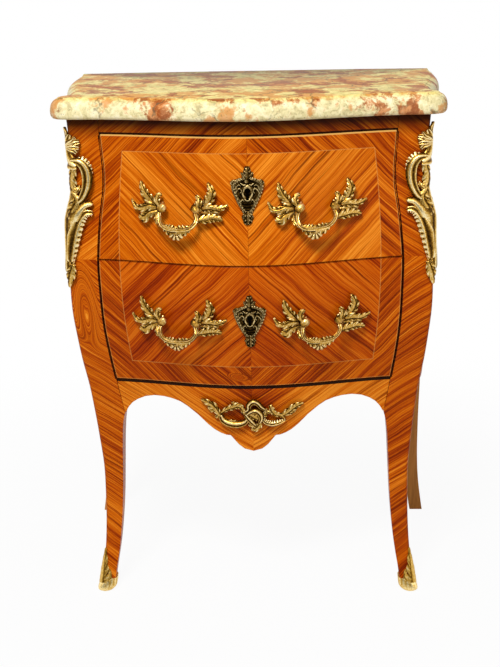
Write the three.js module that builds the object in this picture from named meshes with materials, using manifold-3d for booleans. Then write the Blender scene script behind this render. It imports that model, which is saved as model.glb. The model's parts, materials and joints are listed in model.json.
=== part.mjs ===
// Small veneered commode chest in the Louis XV manner: a swelling (bombé) case with two drawers and
// no rail showing between them, on cabriole legs, under a moulded marble top, with gilt bronze mounts.
// Millimetres, +Z up. The front faces -Y and the feet stand on Z = 0.
import * as THREE from 'three';
import { mergeVertices } from 'three/addons/utils/BufferGeometryUtils.js';
import Module from 'manifold-3d';

const wasm = await Module();
wasm.setup();

// Heights of the case, from the floor up
const underDrawers = 375;
const lowerDrawerHeight = 200;
const upperDrawerHeight = 192;
const topRailHeight = 21;
const caseTop = underDrawers + lowerDrawerHeight + upperDrawerHeight + topRailHeight;
const divisionHeight = underDrawers + lowerDrawerHeight;
const openingTop = divisionHeight + upperDrawerHeight;

// Plan of the case, taken at its belly
const bellyHalfWidth = 280;
const caseDepth = 348;
const frontBow = 57;
const arrisRadius = 6;
const backPlane = 190;
const bellyFront = backPlane - caseDepth;

// Clearances
const seatGap = 0.3;
const mountGap = 0.45;
const cornerLift = 1.2;
const drawerReveal = 1.1;
const holeClearance = 0.35;
const overrun = 60;

// Front stiles and legs
const stileDepth = 72;
const legTopWidth = 46;
const legTopDepth = 44;
const legTopDrop = 62;
const legTopHeight = underDrawers - legTopDrop;
const soleThickness = 5;

// Back stiles and legs
const backStileDepth = 50;
const backLegWidth = 44;

// Side panels, flat inside to carry the runners
const sidePanelInset = 40;
const insideHalfWidth = bellyHalfWidth - sidePanelInset;
const sideApronRise = 32;
const sideApronHeight = legTopHeight + sideApronRise;
const sideApronDrop = 30;

// Boards and rails
const boardThickness = 8;
const topBoardThickness = 12;
const backPanelThickness = 12;
const backRailDepth = 30;
const backTopRailHeight = 48;
const backBottomRailHeight = 40;
const apronThickness = 27;
const apronTipHeight = 261;
const apronRearBow = 45;
const midRailHeight = 23;
const midRailRise = 9;
const railSetBack = 3;

// Drawers
const drawerSideThickness = 10;
const drawerBackThickness = 10;
const drawerBottomThickness = 7;
const drawerBottomRise = 4;
const drawerRunGap = 4;
const drawerHeadroom = 7;
const drawerBoxRise = 10;
const drawerBackGap = 14;
const runnerWidth = 40;
const upperFront = { innerEdge: 32, innerBow: 48 };
const lowerFront = { innerEdge: 38, innerBow: 40 };
const stopWidth = 30;
const stopDepth = 12;
const stopHeight = 6;

// Locks
const keyholeDrop = 81;
const keyholeWidth = 7;
const keyholeHeight = 16;
const lockWidth = 50;
const lockDepth = 11;
const lockBelowKeyhole = 23;
const boltWidth = 12;
const boltThickness = 5;
const boltThrow = 8;

// Marble top
const marbleThickness = 32;
const marbleSideOverhang = 29;
const marbleHalfWidth = bellyHalfWidth + marbleSideOverhang;
const marbleExtraDepth = 52;
const marbleDepth = caseDepth + marbleExtraDepth;
const marbleBow = 47;
const marbleBackOverhang = 5;
const marbleEdgeInset = 14;

// Bronze mounts
const handleWidth = 151;
const upperHandleSpread = 103;
const lowerHandleSpread = 109;
const upperHandleRise = 73.5;
const lowerHandleRise = 98.5;
const postRadius = 2.5;
const postSpreadShare = 0.155;
const postRiseShare = 0.084;
const nutRadius = 5.5;
const nutThickness = 4;
const postProud = 2;
const escutcheonWidth = 48;
const escutcheonHeight = 85;
const escutcheonRelief = 3.4;
const escutcheonKeyShare = 0.48;
const chuteHeight = 246;
const chuteDrop = 11;
const apronMountWidth = 164;
const apronMountHeight = 324;
const sabotHeight = 22;
const sabotLeafHeight = 73;
const sabotWall = 3.2;
const sabotToe = 6;
const sabotChamfer = 2;

// The case at successive heights. Each row: height, half-width at the front arris, set-back of the
// arris, bow of the front, half-width at the back; as shares of caseTop, bellyHalfWidth, caseDepth,
// frontBow and bellyHalfWidth
const stationShares = [
  [0, 0.936, 0.029, 0.82, 1.075],
  [0.014, 0.932, 0.032, 0.82, 1.069],
  [0.047, 0.920, 0.052, 0.82, 1.056],
  [0.09, 0.906, 0.075, 0.82, 1.042],
  [0.147, 0.896, 0.092, 0.82, 1.033],
  [0.207, 0.892, 0.101, 0.82, 1.031],
  [0.274, 0.892, 0.101, 0.80, 1.033],
  [0.334, 0.905, 0.092, 0.79, 1.036],
  [0.396, 0.921, 0.078, 0.80, 1.037],
  [0.457, 0.940, 0.060, 0.79, 1.04],
  [0.518, 0.967, 0.037, 0.80, 1.045],
  [0.571, 0.984, 0.017, 0.86, 1.054],
  [0.622, 0.9975, 0.004, 0.91, 1.061],
  [0.673, 1, 0, 0.965, 1.064],
  [0.73, 0.992, 0.003, 1, 1.061],
  [0.78, 0.980, 0.013, 0.99, 1.054],
  [0.825, 0.968, 0.024, 0.95, 1.043],
  [0.876, 0.957, 0.034, 0.905, 1.034],
  [0.92, 0.959, 0.040, 0.895, 1.032],
  [0.961, 0.966, 0.040, 0.895, 1.036],
  [1, 0.974, 0.037, 0.895, 1.043],
];

// Side of the case in plan: distance back from the arris, and how much of the widening towards the
// back has been reached there
const sideShares = [
  [0.12, -0.26], [0.25, 0.02], [0.4, 0.5], [0.55, 0.86], [0.7, 1.02], [0.85, 1.05], [1, 1],
];

// Side edge of the drawer opening: height in caseTop, half-width in bellyHalfWidth
const openingShares = [
  [0.4695, 0.777], [0.523, 0.8], [0.588, 0.821], [0.666, 0.831], [0.727, 0.8335], [0.769, 0.825],
  [0.822, 0.808], [0.8655, 0.789], [0.902, 0.7855], [0.942, 0.7935], [0.9735, 0.7985],
];

// Taper of a leg below its top: height in legTopHeight, breadth in the breadth at its top
const legTaperShares = [
  [0, 0.5], [0.115, 0.5], [0.23, 0.545], [0.377, 0.61], [0.524, 0.67], [0.68, 0.72], [0.83, 0.83], [1, 1],
];

// Flare of a front leg's inner edge into the apron: height in legTopHeight, breadth in legTopWidth
const legFlareShares = [[0, 0], [0.87, 0], [0.92, 0.01], [0.96, 0.035], [1, 0.09]];

// Lower edge of the front apron, from the leg to the middle: distance out in the apron's half-width
// between the tops of the legs, height in the drop from the drawers to the tip
const apronShares = [
  [0.989, 0.5], [0.968, 0.563], [0.935, 0.636], [0.89, 0.696], [0.827, 0.75], [0.7535, 0.777], [0.68, 0.773],
  [0.6175, 0.753], [0.5545, 0.716], [0.497, 0.65], [0.4185, 0.533], [0.3455, 0.397], [0.293, 0.318],
  [0.246, 0.27], [0.204, 0.243], [0.1725, 0.24], [0.1465, 0.18], [0.114, 0.105], [0.068, 0.035], [0, 0],
];

// Lower edge of a side panel, from its front end to its middle: distance in the panel's depth, drop in
// sideApronDrop
const sideApronShares = [
  [0, 0.6], [0.05, 0.3], [0.13, 0.05], [0.22, 0], [0.31, 0.12], [0.39, 0.55], [0.45, 0.9], [0.5, 1],
];

// Plan of the marble behind its front curve: half-width in marbleHalfWidth, distance from the back edge
// in marbleDepth, width of the moulding in marbleEdgeInset. The first rows are the rounded ear over the
// front corner
const marbleShares = [
  [0.845, 0.884, 1], [0.877, 0.883, 1], [0.913, 0.876, 1.05], [0.942, 0.86, 1.1], [0.959, 0.836, 1.1],
  [0.962, 0.81, 1.1], [0.952, 0.786, 1.1], [0.933, 0.765, 1.1], [0.918, 0.738, 1.15], [0.912, 0.7, 1.2],
  [0.917, 0.645, 1.25], [0.935, 0.57, 1.3], [0.965, 0.44, 1.3], [0.988, 0.32, 1.3], [0.998, 0.22, 1.3], [1, 0.12, 1.3],
  [0.998, 0.05, 1.2], [0.985, 0.012, 0.8], [0.962, 0, 0.4],
];

// Moulded edge of the marble from below: inset in marbleEdgeInset, height in marbleThickness
const mouldingShares = [
  [0.45, 0], [0.1, 0.1], [0, 0.3], [0.05, 0.52], [0.2, 0.71], [0.44, 0.86], [0.72, 0.95], [1, 1],
];

const materials = {
  veneer: new THREE.MeshStandardMaterial({ color: 0xc8691c, roughness: 0.32, metalness: 0 }),
  carcass: new THREE.MeshStandardMaterial({ color: 0xb9905c, roughness: 0.7, metalness: 0 }),
  legWood: new THREE.MeshStandardMaterial({ color: 0x86552c, roughness: 0.55, metalness: 0 }),
  marble: new THREE.MeshStandardMaterial({ color: 0xe2c39c, roughness: 0.2, metalness: 0 }),
  gilt: new THREE.MeshStandardMaterial({ color: 0xc9a64b, roughness: 0.35, metalness: 1 }),
  darkBronze: new THREE.MeshStandardMaterial({ color: 0x6f5f35, roughness: 0.45, metalness: 1 }),
  steel: new THREE.MeshStandardMaterial({ color: 0x8a8680, roughness: 0.45, metalness: 1 }),
};

const commode = new THREE.Group();

// Straight-line reading of a table: finds value number `column` where value 0 is `at`
function readTable(table, at, column = 1) {
  const last = table.length - 1;
  let row = 1;
  while (row < last && table[row][0] < at) row += 1;
  const [low, high] = [table[row - 1], table[row]];
  const part = THREE.MathUtils.clamp((at - low[0]) / (high[0] - low[0]), 0, 1);
  return THREE.MathUtils.lerp(low[column], high[column], part);
}

// A closed geometry becomes a solid with its faces outwards
function toSolid(geometry) {
  const bare = geometry.clone();
  bare.deleteAttribute('normal');
  bare.deleteAttribute('uv');
  const merged = mergeVertices(bare);
  const points = merged.attributes.position;
  const index = Array.from(merged.index.array);
  const [a, b, c] = [new THREE.Vector3(), new THREE.Vector3(), new THREE.Vector3()];
  let volume = 0;
  for (let i = 0; i < index.length; i += 3) {
    a.fromBufferAttribute(points, index[i]);
    b.fromBufferAttribute(points, index[i + 1]);
    c.fromBufferAttribute(points, index[i + 2]);
    volume += a.dot(b.cross(c));
  }
  if (volume < 0) index.reverse();
  return new wasm.Manifold(new wasm.Mesh({
    numProp: 3,
    vertProperties: new Float32Array(points.array),
    triVerts: new Uint32Array(index),
  }));
}

function addPiece(name, solid, material) {
  const mesh = solid.getMesh();
  const geometry = new THREE.BufferGeometry();
  geometry.setAttribute('position', new THREE.BufferAttribute(new Float32Array(mesh.vertProperties), 3));
  geometry.setIndex(new THREE.BufferAttribute(new Uint32Array(mesh.triVerts), 1));
  geometry.computeVertexNormals();
  const piece = new THREE.Mesh(geometry, material);
  piece.name = name;
  commode.add(piece);
}

// Rings of equally many points are joined one to the next, and both ends are closed
function loft(rings) {
  const count = rings[0].length;
  const middle = (ring) => ring.reduce((sum, p) => sum.add(p), new THREE.Vector3()).divideScalar(count);
  const points = [...rings.flat(), middle(rings[0]), middle(rings[rings.length - 1])];
  const index = [];
  for (let r = 0; r < rings.length - 1; r += 1) {
    for (let i = 0; i < count; i += 1) {
      const j = (i + 1) % count;
      const low = r * count;
      const high = low + count;
      index.push(low + i, low + j, high + j, low + i, high + j, high + i);
    }
  }
  const top = (rings.length - 1) * count;
  for (let i = 0; i < count; i += 1) {
    const j = (i + 1) % count;
    index.push(points.length - 2, j, i, points.length - 1, top + i, top + j);
  }
  const geometry = new THREE.BufferGeometry().setFromPoints(points);
  geometry.setIndex(index);
  return toSolid(geometry);
}

// An outline pushed along one axis, between two places on it
const axisX = new THREE.Vector3(1, 0, 0);
const axisY = new THREE.Vector3(0, 1, 0);
const axisZ = new THREE.Vector3(0, 0, 1);
const lying = {
  X: new THREE.Matrix4().makeBasis(axisY, axisZ, axisX),
  Y: new THREE.Matrix4().makeBasis(axisX, axisZ, axisY.clone().negate()),
  Z: new THREE.Matrix4().makeBasis(axisX, axisY, axisZ),
};
function prism(outline, axis, from, to) {
  const shape = new THREE.Shape(outline.map(([a, b]) => new THREE.Vector2(a, b)));
  const geometry = new THREE.ExtrudeGeometry(shape, { depth: to - from, bevelEnabled: false });
  geometry.translate(0, 0, axis === 'Y' ? -to : from);
  return toSolid(geometry.applyMatrix4(lying[axis]));
}

function block(x0, x1, y0, y1, z0, z1) {
  return prism([[x0, y0], [x1, y0], [x1, y1], [x0, y1]], 'Z', z0, z1);
}

function rod(x, z, radius, y0, y1, sides) {
  const geometry = new THREE.CylinderGeometry(radius, radius, y1 - y0, sides);
  return toSolid(geometry.translate(x, (y0 + y1) / 2, z));
}

function mirrorX(solid) {
  const mesh = solid.getMesh();
  const geometry = new THREE.BufferGeometry();
  geometry.setAttribute('position', new THREE.BufferAttribute(new Float32Array(mesh.vertProperties), 3));
  geometry.setIndex(new THREE.BufferAttribute(new Uint32Array(mesh.triVerts), 1));
  geometry.scale(-1, 1, 1);
  return toSolid(geometry);
}

// Plan of the case at a height between stations, each value in millimetres
function caseAt(z) {
  const height = z / caseTop;
  return {
    arrisX: bellyHalfWidth * readTable(stationShares, height, 1),
    arrisY: bellyFront + caseDepth * readTable(stationShares, height, 2),
    bow: frontBow * readTable(stationShares, height, 3),
    backX: bellyHalfWidth * readTable(stationShares, height, 4),
  };
}

// Serpentine curve of the front: 1 at the middle, 0 at the arris, level at both
const serpentine = (share) => (1 + Math.cos(Math.PI * Math.min(Math.abs(share), 1))) / 2;
const frontColumns = 10;

function frontPoints(z) {
  const { arrisX, arrisY, bow } = caseAt(z);
  const points = [];
  for (let i = 0; i <= frontColumns; i += 1) {
    const x = (i / frontColumns) * (arrisX - arrisRadius);
    points.push([x, arrisY - bow * serpentine(x / arrisX)]);
  }
  return points;
}

const frontRows = stationShares.map(([height]) => frontPoints(height * caseTop));

// Front face of the case, exactly as the lofted solid has it
function frontY(x, z) {
  const height = z / caseTop;
  let row = 1;
  while (row < stationShares.length - 1 && stationShares[row][0] < height) row += 1;
  const [low, high] = [stationShares[row - 1][0], stationShares[row][0]];
  const part = THREE.MathUtils.clamp((height - low) / (high - low), 0, 1);
  const line = frontRows[row].map((point, i) => [
    THREE.MathUtils.lerp(frontRows[row - 1][i][0], point[0], part),
    THREE.MathUtils.lerp(frontRows[row - 1][i][1], point[1], part),
  ]);
  return readTable(line, Math.abs(x));
}

function sidePoints(z) {
  const { arrisX, arrisY, bow, backX } = caseAt(z);
  const start = arrisY - bow * serpentine(1 - arrisRadius / arrisX) + arrisRadius;
  const points = [[start, arrisX]];
  for (const [back, swell] of sideShares) {
    points.push([start + back * (backPlane - start), arrisX + swell * (backX - arrisX)]);
  }
  return points;
}

function planRing(z) {
  const front = frontPoints(z);
  const side = sidePoints(z);
  const [endX, endY] = front[frontColumns];
  const bend = arrisRadius * Math.SQRT1_2;
  const corner = [endX + bend, endY + arrisRadius - bend];
  const right = [...front, corner, ...side.map(([y, x]) => [x, y])];
  const left = right.slice(1).reverse().map(([x, y]) => [-x, y]);
  return [...right, ...left].map(([x, y]) => new THREE.Vector3(x, y, z));
}

const caseSolid = loft(stationShares.map(([height]) => planRing(height * caseTop)));

// Front legs: each is one piece with its corner stile
const stileRear = bellyFront + stileDepth;
const legTaper = (z) => readTable(legTaperShares, z / legTopHeight);
const legFlare = (z) => readTable(legFlareShares, z / legTopHeight);
const legLevels = [
  ...legTaperShares.map(([height]) => height * legTopHeight),
  ...legFlareShares.slice(1, -1).map(([height]) => height * legTopHeight),
  ...stationShares.map(([height]) => height * caseTop).filter((z) => z > 0 && z < legTopHeight),
].sort((a, b) => a - b);
const openingX = (z) => bellyHalfWidth * readTable(openingShares, z / caseTop);
const openingHeights = openingShares.map(([height]) => height * caseTop);
const sideApronRoot = sideApronHeight - sideApronDrop * sideApronShares[0][1];
const outside = marbleHalfWidth + overrun;
const footBottom = soleThickness + seatGap;

function edgeBetween(low, high, inset) {
  const heights = [low, ...openingHeights.filter((z) => z > low && z < high), high];
  return heights.map((z) => [openingX(z) - inset, z]);
}

// Inner edge of the front legs and, under the drawers, of their stiles
function stileInnerX(z) {
  const atLeg = (height) => caseAt(height).arrisX - legTopWidth * (legTaper(height) + legFlare(height));
  if (z <= legTopHeight) return atLeg(z);
  const part = (z - legTopHeight) / (underDrawers - legTopHeight);
  return THREE.MathUtils.lerp(atLeg(legTopHeight), openingX(underDrawers), part);
}

function frontLeg() {
  const inner = legLevels.map((z) => [stileInnerX(z), z]);
  const faceOutline = [
    ...inner, ...edgeBetween(underDrawers, openingTop, 0), [openingX(openingTop), caseTop + overrun],
    [outside, caseTop + overrun], [outside, 0],
  ];
  const rear = legLevels.map((z) => [caseAt(z).arrisY + legTopDepth * legTaper(z), z]);
  const sideOutline = [
    ...rear, [stileRear, sideApronRoot], [stileRear, caseTop + overrun],
    [bellyFront - overrun, caseTop + overrun], [bellyFront - overrun, 0],
  ];
  const faceCut = prism(faceOutline, 'Y', bellyFront - overrun, backPlane);
  const sideCut = prism(sideOutline, 'X', 0, outside);
  const floorCut = block(0, outside, bellyFront - overrun, backPlane, 0 - overrun, footBottom);
  return caseSolid.intersect(faceCut).intersect(sideCut).subtract(floorCut);
}

const rightFrontLeg = frontLeg();
addPiece('front_right_leg', rightFrontLeg, materials.veneer);
addPiece('front_left_leg', mirrorX(rightFrontLeg), materials.veneer);

// Back legs, plain wood, flat at the back
const backStileFront = backPlane - backStileDepth;

function backLeg() {
  const inner = legLevels.map((z) => [caseAt(z).backX - backLegWidth * legTaper(z), z]);
  const faceOutline = [
    ...inner, [insideHalfWidth, sideApronRoot], [insideHalfWidth, caseTop + overrun],
    [outside, caseTop + overrun], [outside, 0],
  ];
  const front = legLevels.map((z) => [backPlane - backStileDepth * legTaper(z), z]);
  const sideOutline = [
    ...front, [backStileFront, sideApronRoot], [backStileFront, caseTop + overrun],
    [backPlane + overrun, caseTop + overrun], [backPlane + overrun, 0],
  ];
  return caseSolid
    .intersect(prism(faceOutline, 'Y', bellyFront, backPlane + overrun))
    .intersect(prism(sideOutline, 'X', 0, outside));
}

const rightBackLeg = backLeg();
addPiece('back_right_leg', rightBackLeg, materials.legWood);
addPiece('back_left_leg', mirrorX(rightBackLeg), materials.legWood);

// Side panels between the stiles, with a shaped lower edge
function sidePanel() {
  const [from, to] = [stileRear + seatGap, backStileFront - seatGap];
  const edge = sideApronShares.map(([along, drop]) => [along, sideApronHeight - sideApronDrop * drop]);
  const lower = [...edge, ...edge.slice(0, -1).reverse().map(([along, z]) => [1 - along, z])];
  const outline = [
    ...lower.map(([along, z]) => [THREE.MathUtils.lerp(from, to, along), z]),
    [to, caseTop + overrun], [from, caseTop + overrun],
  ];
  return caseSolid.intersect(prism(outline, 'X', insideHalfWidth, outside));
}

const rightSidePanel = sidePanel();
addPiece('right_side_panel', rightSidePanel, materials.veneer);
addPiece('left_side_panel', mirrorX(rightSidePanel), materials.veneer);

// A bowed line across the inside, such as the back of a drawer front
const bowedLine = (edgeY, bow) => Array.from({ length: frontColumns + 1 }, (_, i) => [
  (i / frontColumns) * bellyHalfWidth,
  edgeY - bow * serpentine(i / frontColumns),
]);
const bowedY = (line, x) => readTable(line, Math.abs(x));

// A flat shape reaching from a bowed line to a straight rear edge
function bowedOutline(line, halfWidth, rear) {
  const half = [...line.filter(([x]) => x < halfWidth), [halfWidth, bowedY(line, halfWidth)]];
  const right = half.map(([x, y]) => [x, y]);
  const left = right.slice(1).reverse().map(([x, y]) => [-x, y]);
  return [...left, ...right, [halfWidth, rear], [-halfWidth, rear]];
}

// Fixed rails of the front
const railHalfWidth = openingX(openingTop) - seatGap;
const apronHalfWidth = openingX(underDrawers) - seatGap;
const upperInner = bowedLine(bellyFront + upperFront.innerEdge, upperFront.innerBow);
const lowerInner = bowedLine(bellyFront + lowerFront.innerEdge, lowerFront.innerBow);
const boltY = (inner) => bowedY(inner, boltWidth / 2) + seatGap;

function boltHole(inner, z0, z1) {
  const half = boltWidth / 2 + holeClearance;
  const front = boltY(inner) - holeClearance;
  return block(-half, half, front, front + boltThickness + holeClearance * 2, z0, z1);
}

function topRail() {
  const bar = block(-railHalfWidth, railHalfWidth, bellyFront - overrun - frontBow, stileRear,
    openingTop, caseTop);
  return caseSolid.intersect(bar).subtract(boltHole(upperInner, openingTop - overrun,
    openingTop + boltThrow + boltThickness));
}
addPiece('front_top_rail', topRail(), materials.veneer);

const apronRear = bowedLine(caseAt(underDrawers).arrisY + apronThickness, apronRearBow);

function apron() {
  const drop = underDrawers - apronTipHeight;
  const rootX = stileInnerX(legTopHeight) - seatGap;
  const edge = apronShares.map(([out, height]) => [out * rootX, apronTipHeight + height * drop]);
  const half = [[rootX, legTopHeight], ...edge];
  const rightEdge = [...half].reverse();
  const leftEdge = half.slice(0, -1).map(([x, z]) => [-x, z]);
  const outline = [
    ...leftEdge, ...rightEdge, [apronHalfWidth, underDrawers], [-apronHalfWidth, underDrawers],
  ];
  const hollow = bowedOutline(apronRear, bellyHalfWidth, backPlane);
  return caseSolid
    .intersect(prism(outline, 'Y', bellyFront - frontBow - overrun, backPlane))
    .subtract(prism(hollow, 'Z', 0, underDrawers + overrun));
}
addPiece('front_apron', apron(), materials.veneer);

const midRailTop = divisionHeight + midRailRise;
const midRailBottom = midRailTop - midRailHeight;

function midRail() {
  const front = lowerInner.map(([x, y]) => [x, y + railSetBack]);
  const half = Math.min(openingX(midRailTop), openingX(midRailBottom)) - seatGap;
  const bar = prism(bowedOutline(front, half, stileRear), 'Z', midRailBottom, midRailTop);
  return bar.subtract(boltHole(lowerInner, midRailBottom - overrun, midRailBottom + boltThrow + boltThickness));
}
addPiece('mid_rail', midRail(), materials.carcass);

// Boards and rails inside and behind
const backRailFront = backPlane - backRailDepth;
const boardHalfWidth = insideHalfWidth - seatGap;
const boardFront = stileRear + seatGap;
const boardRear = backRailFront - seatGap;
const dustBoardBottom = divisionHeight - boardThickness;
const bottomBoardTop = underDrawers - drawerBottomRise;

addPiece('top_board', block(-boardHalfWidth, boardHalfWidth, boardFront, boardRear,
  caseTop - topBoardThickness, caseTop), materials.carcass);
addPiece('dust_board', block(-boardHalfWidth, boardHalfWidth, boardFront, boardRear,
  dustBoardBottom, divisionHeight), materials.carcass);

// The bottom board reaches forward between the legs to the back of the apron
function bottomBoard() {
  const z0 = bottomBoardTop - boardThickness;
  const wide = block(-boardHalfWidth, boardHalfWidth, boardFront, boardRear, z0, bottomBoardTop);
  const front = apronRear.map(([x, y]) => [x, y + seatGap]);
  const tongue = bowedOutline(front, stileInnerX(z0) - seatGap, boardFront + boardThickness);
  return wide.add(prism(tongue, 'Z', z0, bottomBoardTop));
}
addPiece('bottom_board', bottomBoard(), materials.carcass);

addPiece('back_top_rail', block(-boardHalfWidth, boardHalfWidth, backRailFront, backPlane,
  caseTop - backTopRailHeight, caseTop), materials.carcass);
addPiece('back_bottom_rail', block(-boardHalfWidth, boardHalfWidth, backRailFront, backPlane,
  bottomBoardTop - backBottomRailHeight, bottomBoardTop), materials.carcass);
addPiece('back_panel', block(-boardHalfWidth, boardHalfWidth, backPlane - backPanelThickness, backPlane,
  bottomBoardTop + seatGap, caseTop - backTopRailHeight - seatGap), materials.carcass);

// Marble top
const marbleBack = backPlane + marbleBackOverhang;
const marbleTop = caseTop + marbleThickness;

function marbleOutline() {
  const [earStart] = marbleShares;
  const earX = earStart[0] * marbleHalfWidth;
  const earY = marbleBack - earStart[1] * marbleDepth;
  const front = [];
  for (let i = 0; i < frontColumns; i += 1) {
    const along = i / frontColumns;
    front.push({ x: along * earX, y: earY - marbleBow * serpentine(along), moulding: 1 });
  }
  const behind = marbleShares.map(([x, y, moulding]) => (
    { x: x * marbleHalfWidth, y: marbleBack - y * marbleDepth, moulding }
  ));
  return [...front, ...behind];
}

// Moves each point of the right half of an outline inwards, square to its neighbours. The last point
// stays on the straight back edge
function insetOutline(outline, inset) {
  return outline.map(({ x, y, moulding }, i) => {
    if (i === outline.length - 1) return [x - inset * moulding, y];
    const before = i > 0 ? outline[i - 1] : { x: -outline[1].x, y: outline[1].y };
    const after = outline[i + 1];
    const along = new THREE.Vector2(after.x - before.x, after.y - before.y).normalize();
    return [x - along.y * inset * moulding * Math.sign(i), y + along.x * inset * moulding];
  });
}

function marble() {
  const outline = marbleOutline();
  return loft(mouldingShares.map(([inset, height]) => {
    const right = insetOutline(outline, inset * marbleEdgeInset);
    const left = right.slice(1).reverse().map(([x, y]) => [-x, y]);
    const z = caseTop + height * marbleThickness;
    return [...right, ...left].map(([x, y]) => new THREE.Vector3(x, y, z));
  }));
}
addPiece('marble_top', marble(), materials.marble);

// Drawers. The lower edge of the front laps the rail, and the box runs on the runners behind it
function narrowest(low, high) {
  return Math.min(...edgeBetween(low, high, 0).map(([x]) => x));
}

const drawers = [
  {
    name: 'upper', low: divisionHeight, high: openingTop, inner: upperInner, runnerBase: divisionHeight,
    spread: upperHandleSpread, rise: upperHandleRise, roof: openingTop,
  },
  {
    name: 'lower', low: underDrawers, high: divisionHeight, inner: lowerInner, runnerBase: bottomBoardTop,
    spread: lowerHandleSpread, rise: lowerHandleRise, roof: midRailBottom,
  },
];

function keyhole(x, z, y0, y1) {
  const head = rod(x, z, keyholeWidth / 2, y0, y1, 10);
  const foot = block(x - keyholeWidth / 4, x + keyholeWidth / 4, y0, y1, z - keyholeHeight + keyholeWidth / 2, z);
  return head.add(foot);
}

for (const drawer of drawers) {
  const { name, inner, low, high } = drawer;
  const halfWidth = narrowest(low, high) - drawerRunGap;
  const boxBottom = low + drawerBoxRise;
  const boxTop = drawer.roof - drawerHeadroom;
  const boxRear = backRailFront - drawerBackGap;
  const keyZ = high - keyholeDrop;
  const innerAt = (x) => bowedY(inner, x);
  const ahead = bellyFront - frontBow - overrun;

  // Front, cut from the case by the opening, less the reveal, and hollowed to an even wall
  const gap = drawerReveal / 2;
  const right = edgeBetween(low + gap, high - gap, drawerReveal);
  const left = [...right].reverse().map(([x, z]) => [-x, z]);
  let front = caseSolid.intersect(prism([...right, ...left], 'Y', ahead, backPlane));
  front = front.subtract(prism(bowedOutline(inner, bellyHalfWidth, backPlane + overrun), 'Z', low - overrun,
    high + overrun));
  front = front.subtract(keyhole(0, keyZ, ahead, 0));
  const posts = [];
  for (const side of [-1, 1]) {
    for (const end of [-1, 1]) {
      posts.push({
        side,
        end,
        x: side * drawer.spread + end * postSpreadShare * handleWidth,
        z: low + drawer.rise + postRiseShare * handleWidth,
      });
    }
  }
  for (const post of posts) {
    front = front.subtract(rod(post.x, post.z, postRadius + holeClearance, ahead, 0, 6));
  }
  addPiece(`${name}_drawer_front`, front, materials.veneer);

  // Box
  const sideInner = halfWidth - drawerSideThickness;
  const sideOutline = [
    [sideInner, innerAt(sideInner) + seatGap], [halfWidth, innerAt(halfWidth) + seatGap],
    [halfWidth, boxRear], [sideInner, boxRear],
  ];
  const side = prism(sideOutline, 'Z', boxBottom, boxTop);
  addPiece(`${name}_drawer_right_side`, side, materials.carcass);
  addPiece(`${name}_drawer_left_side`, mirrorX(side), materials.carcass);
  const between = sideInner - seatGap;
  addPiece(`${name}_drawer_back`, block(-between, between, boxRear - drawerBackThickness, boxRear,
    boxBottom, boxTop), materials.carcass);
  const floorLine = inner.map(([x, y]) => [x, y + seatGap]);
  const floorBottom = boxBottom + drawerBottomRise;
  addPiece(`${name}_drawer_bottom`, prism(bowedOutline(floorLine, between,
    boxRear - drawerBackThickness - seatGap), 'Z', floorBottom, floorBottom + drawerBottomThickness),
  materials.carcass);

  // Runners on the board below, against the side panels, and stops behind the drawer's back
  const runner = block(boardHalfWidth - runnerWidth, boardHalfWidth, boardFront, boardRear,
    drawer.runnerBase, boxBottom - seatGap);
  addPiece(`${name}_right_runner`, runner, materials.carcass);
  addPiece(`${name}_left_runner`, mirrorX(runner), materials.carcass);
  const stopX = boardHalfWidth - runnerWidth - seatGap;
  const stop = block(stopX - stopWidth, stopX, boxRear + seatGap, boxRear + seatGap + stopDepth,
    drawer.runnerBase, boxBottom + stopHeight);
  addPiece(`${name}_right_stop`, stop, materials.carcass);
  addPiece(`${name}_left_stop`, mirrorX(stop), materials.carcass);

  // Lock: a case with an upright channel against the front, and a long bolt that slides up in it
  const lockBottom = keyZ - lockBelowKeyhole;
  const lockFront = innerAt(lockWidth / 2) + seatGap;
  const boltBack = boltY(inner) + boltThickness;
  const lockTop = boxTop;
  const channelHalf = boltWidth / 2 + holeClearance;
  const channelBottom = lockBottom + boltThickness;
  let lockCase = block(-lockWidth / 2, lockWidth / 2, lockFront, boltBack + lockDepth / 2, lockBottom, lockTop);
  lockCase = lockCase.subtract(block(-channelHalf, channelHalf, lockFront - overrun, boltBack + holeClearance,
    channelBottom, lockTop + overrun));
  addPiece(`${name}_lock_case`, lockCase, materials.steel);
  const boltTop = drawer.roof - drawerReveal * 2;
  let bolt = block(-boltWidth / 2, boltWidth / 2, boltY(inner), boltBack, channelBottom + seatGap, boltTop);
  bolt = bolt.subtract(block(-keyholeWidth / 2, keyholeWidth / 2, boltY(inner) - overrun, boltBack + overrun,
    keyZ - keyholeHeight, keyZ + boltThrow));
  addPiece(`${name}_lock_bolt`, bolt, materials.steel);

  drawer.posts = posts;
  drawer.keyZ = keyZ;
}

// Bronze mounts. A frond is an oval section carried along a curve over the wood. Each row of its course
// is distance across, distance up and height over the wood; breadths and relief run from its root to
// its tip; all are shares of the mount's size. Four sides make a ridged leaf, six a round stem
function readAlong(list, part) {
  const at = part * (list.length - 1);
  const low = Math.min(Math.floor(at), list.length - 2);
  return THREE.MathUtils.lerp(list[low], list[low + 1], at - low);
}

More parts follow.
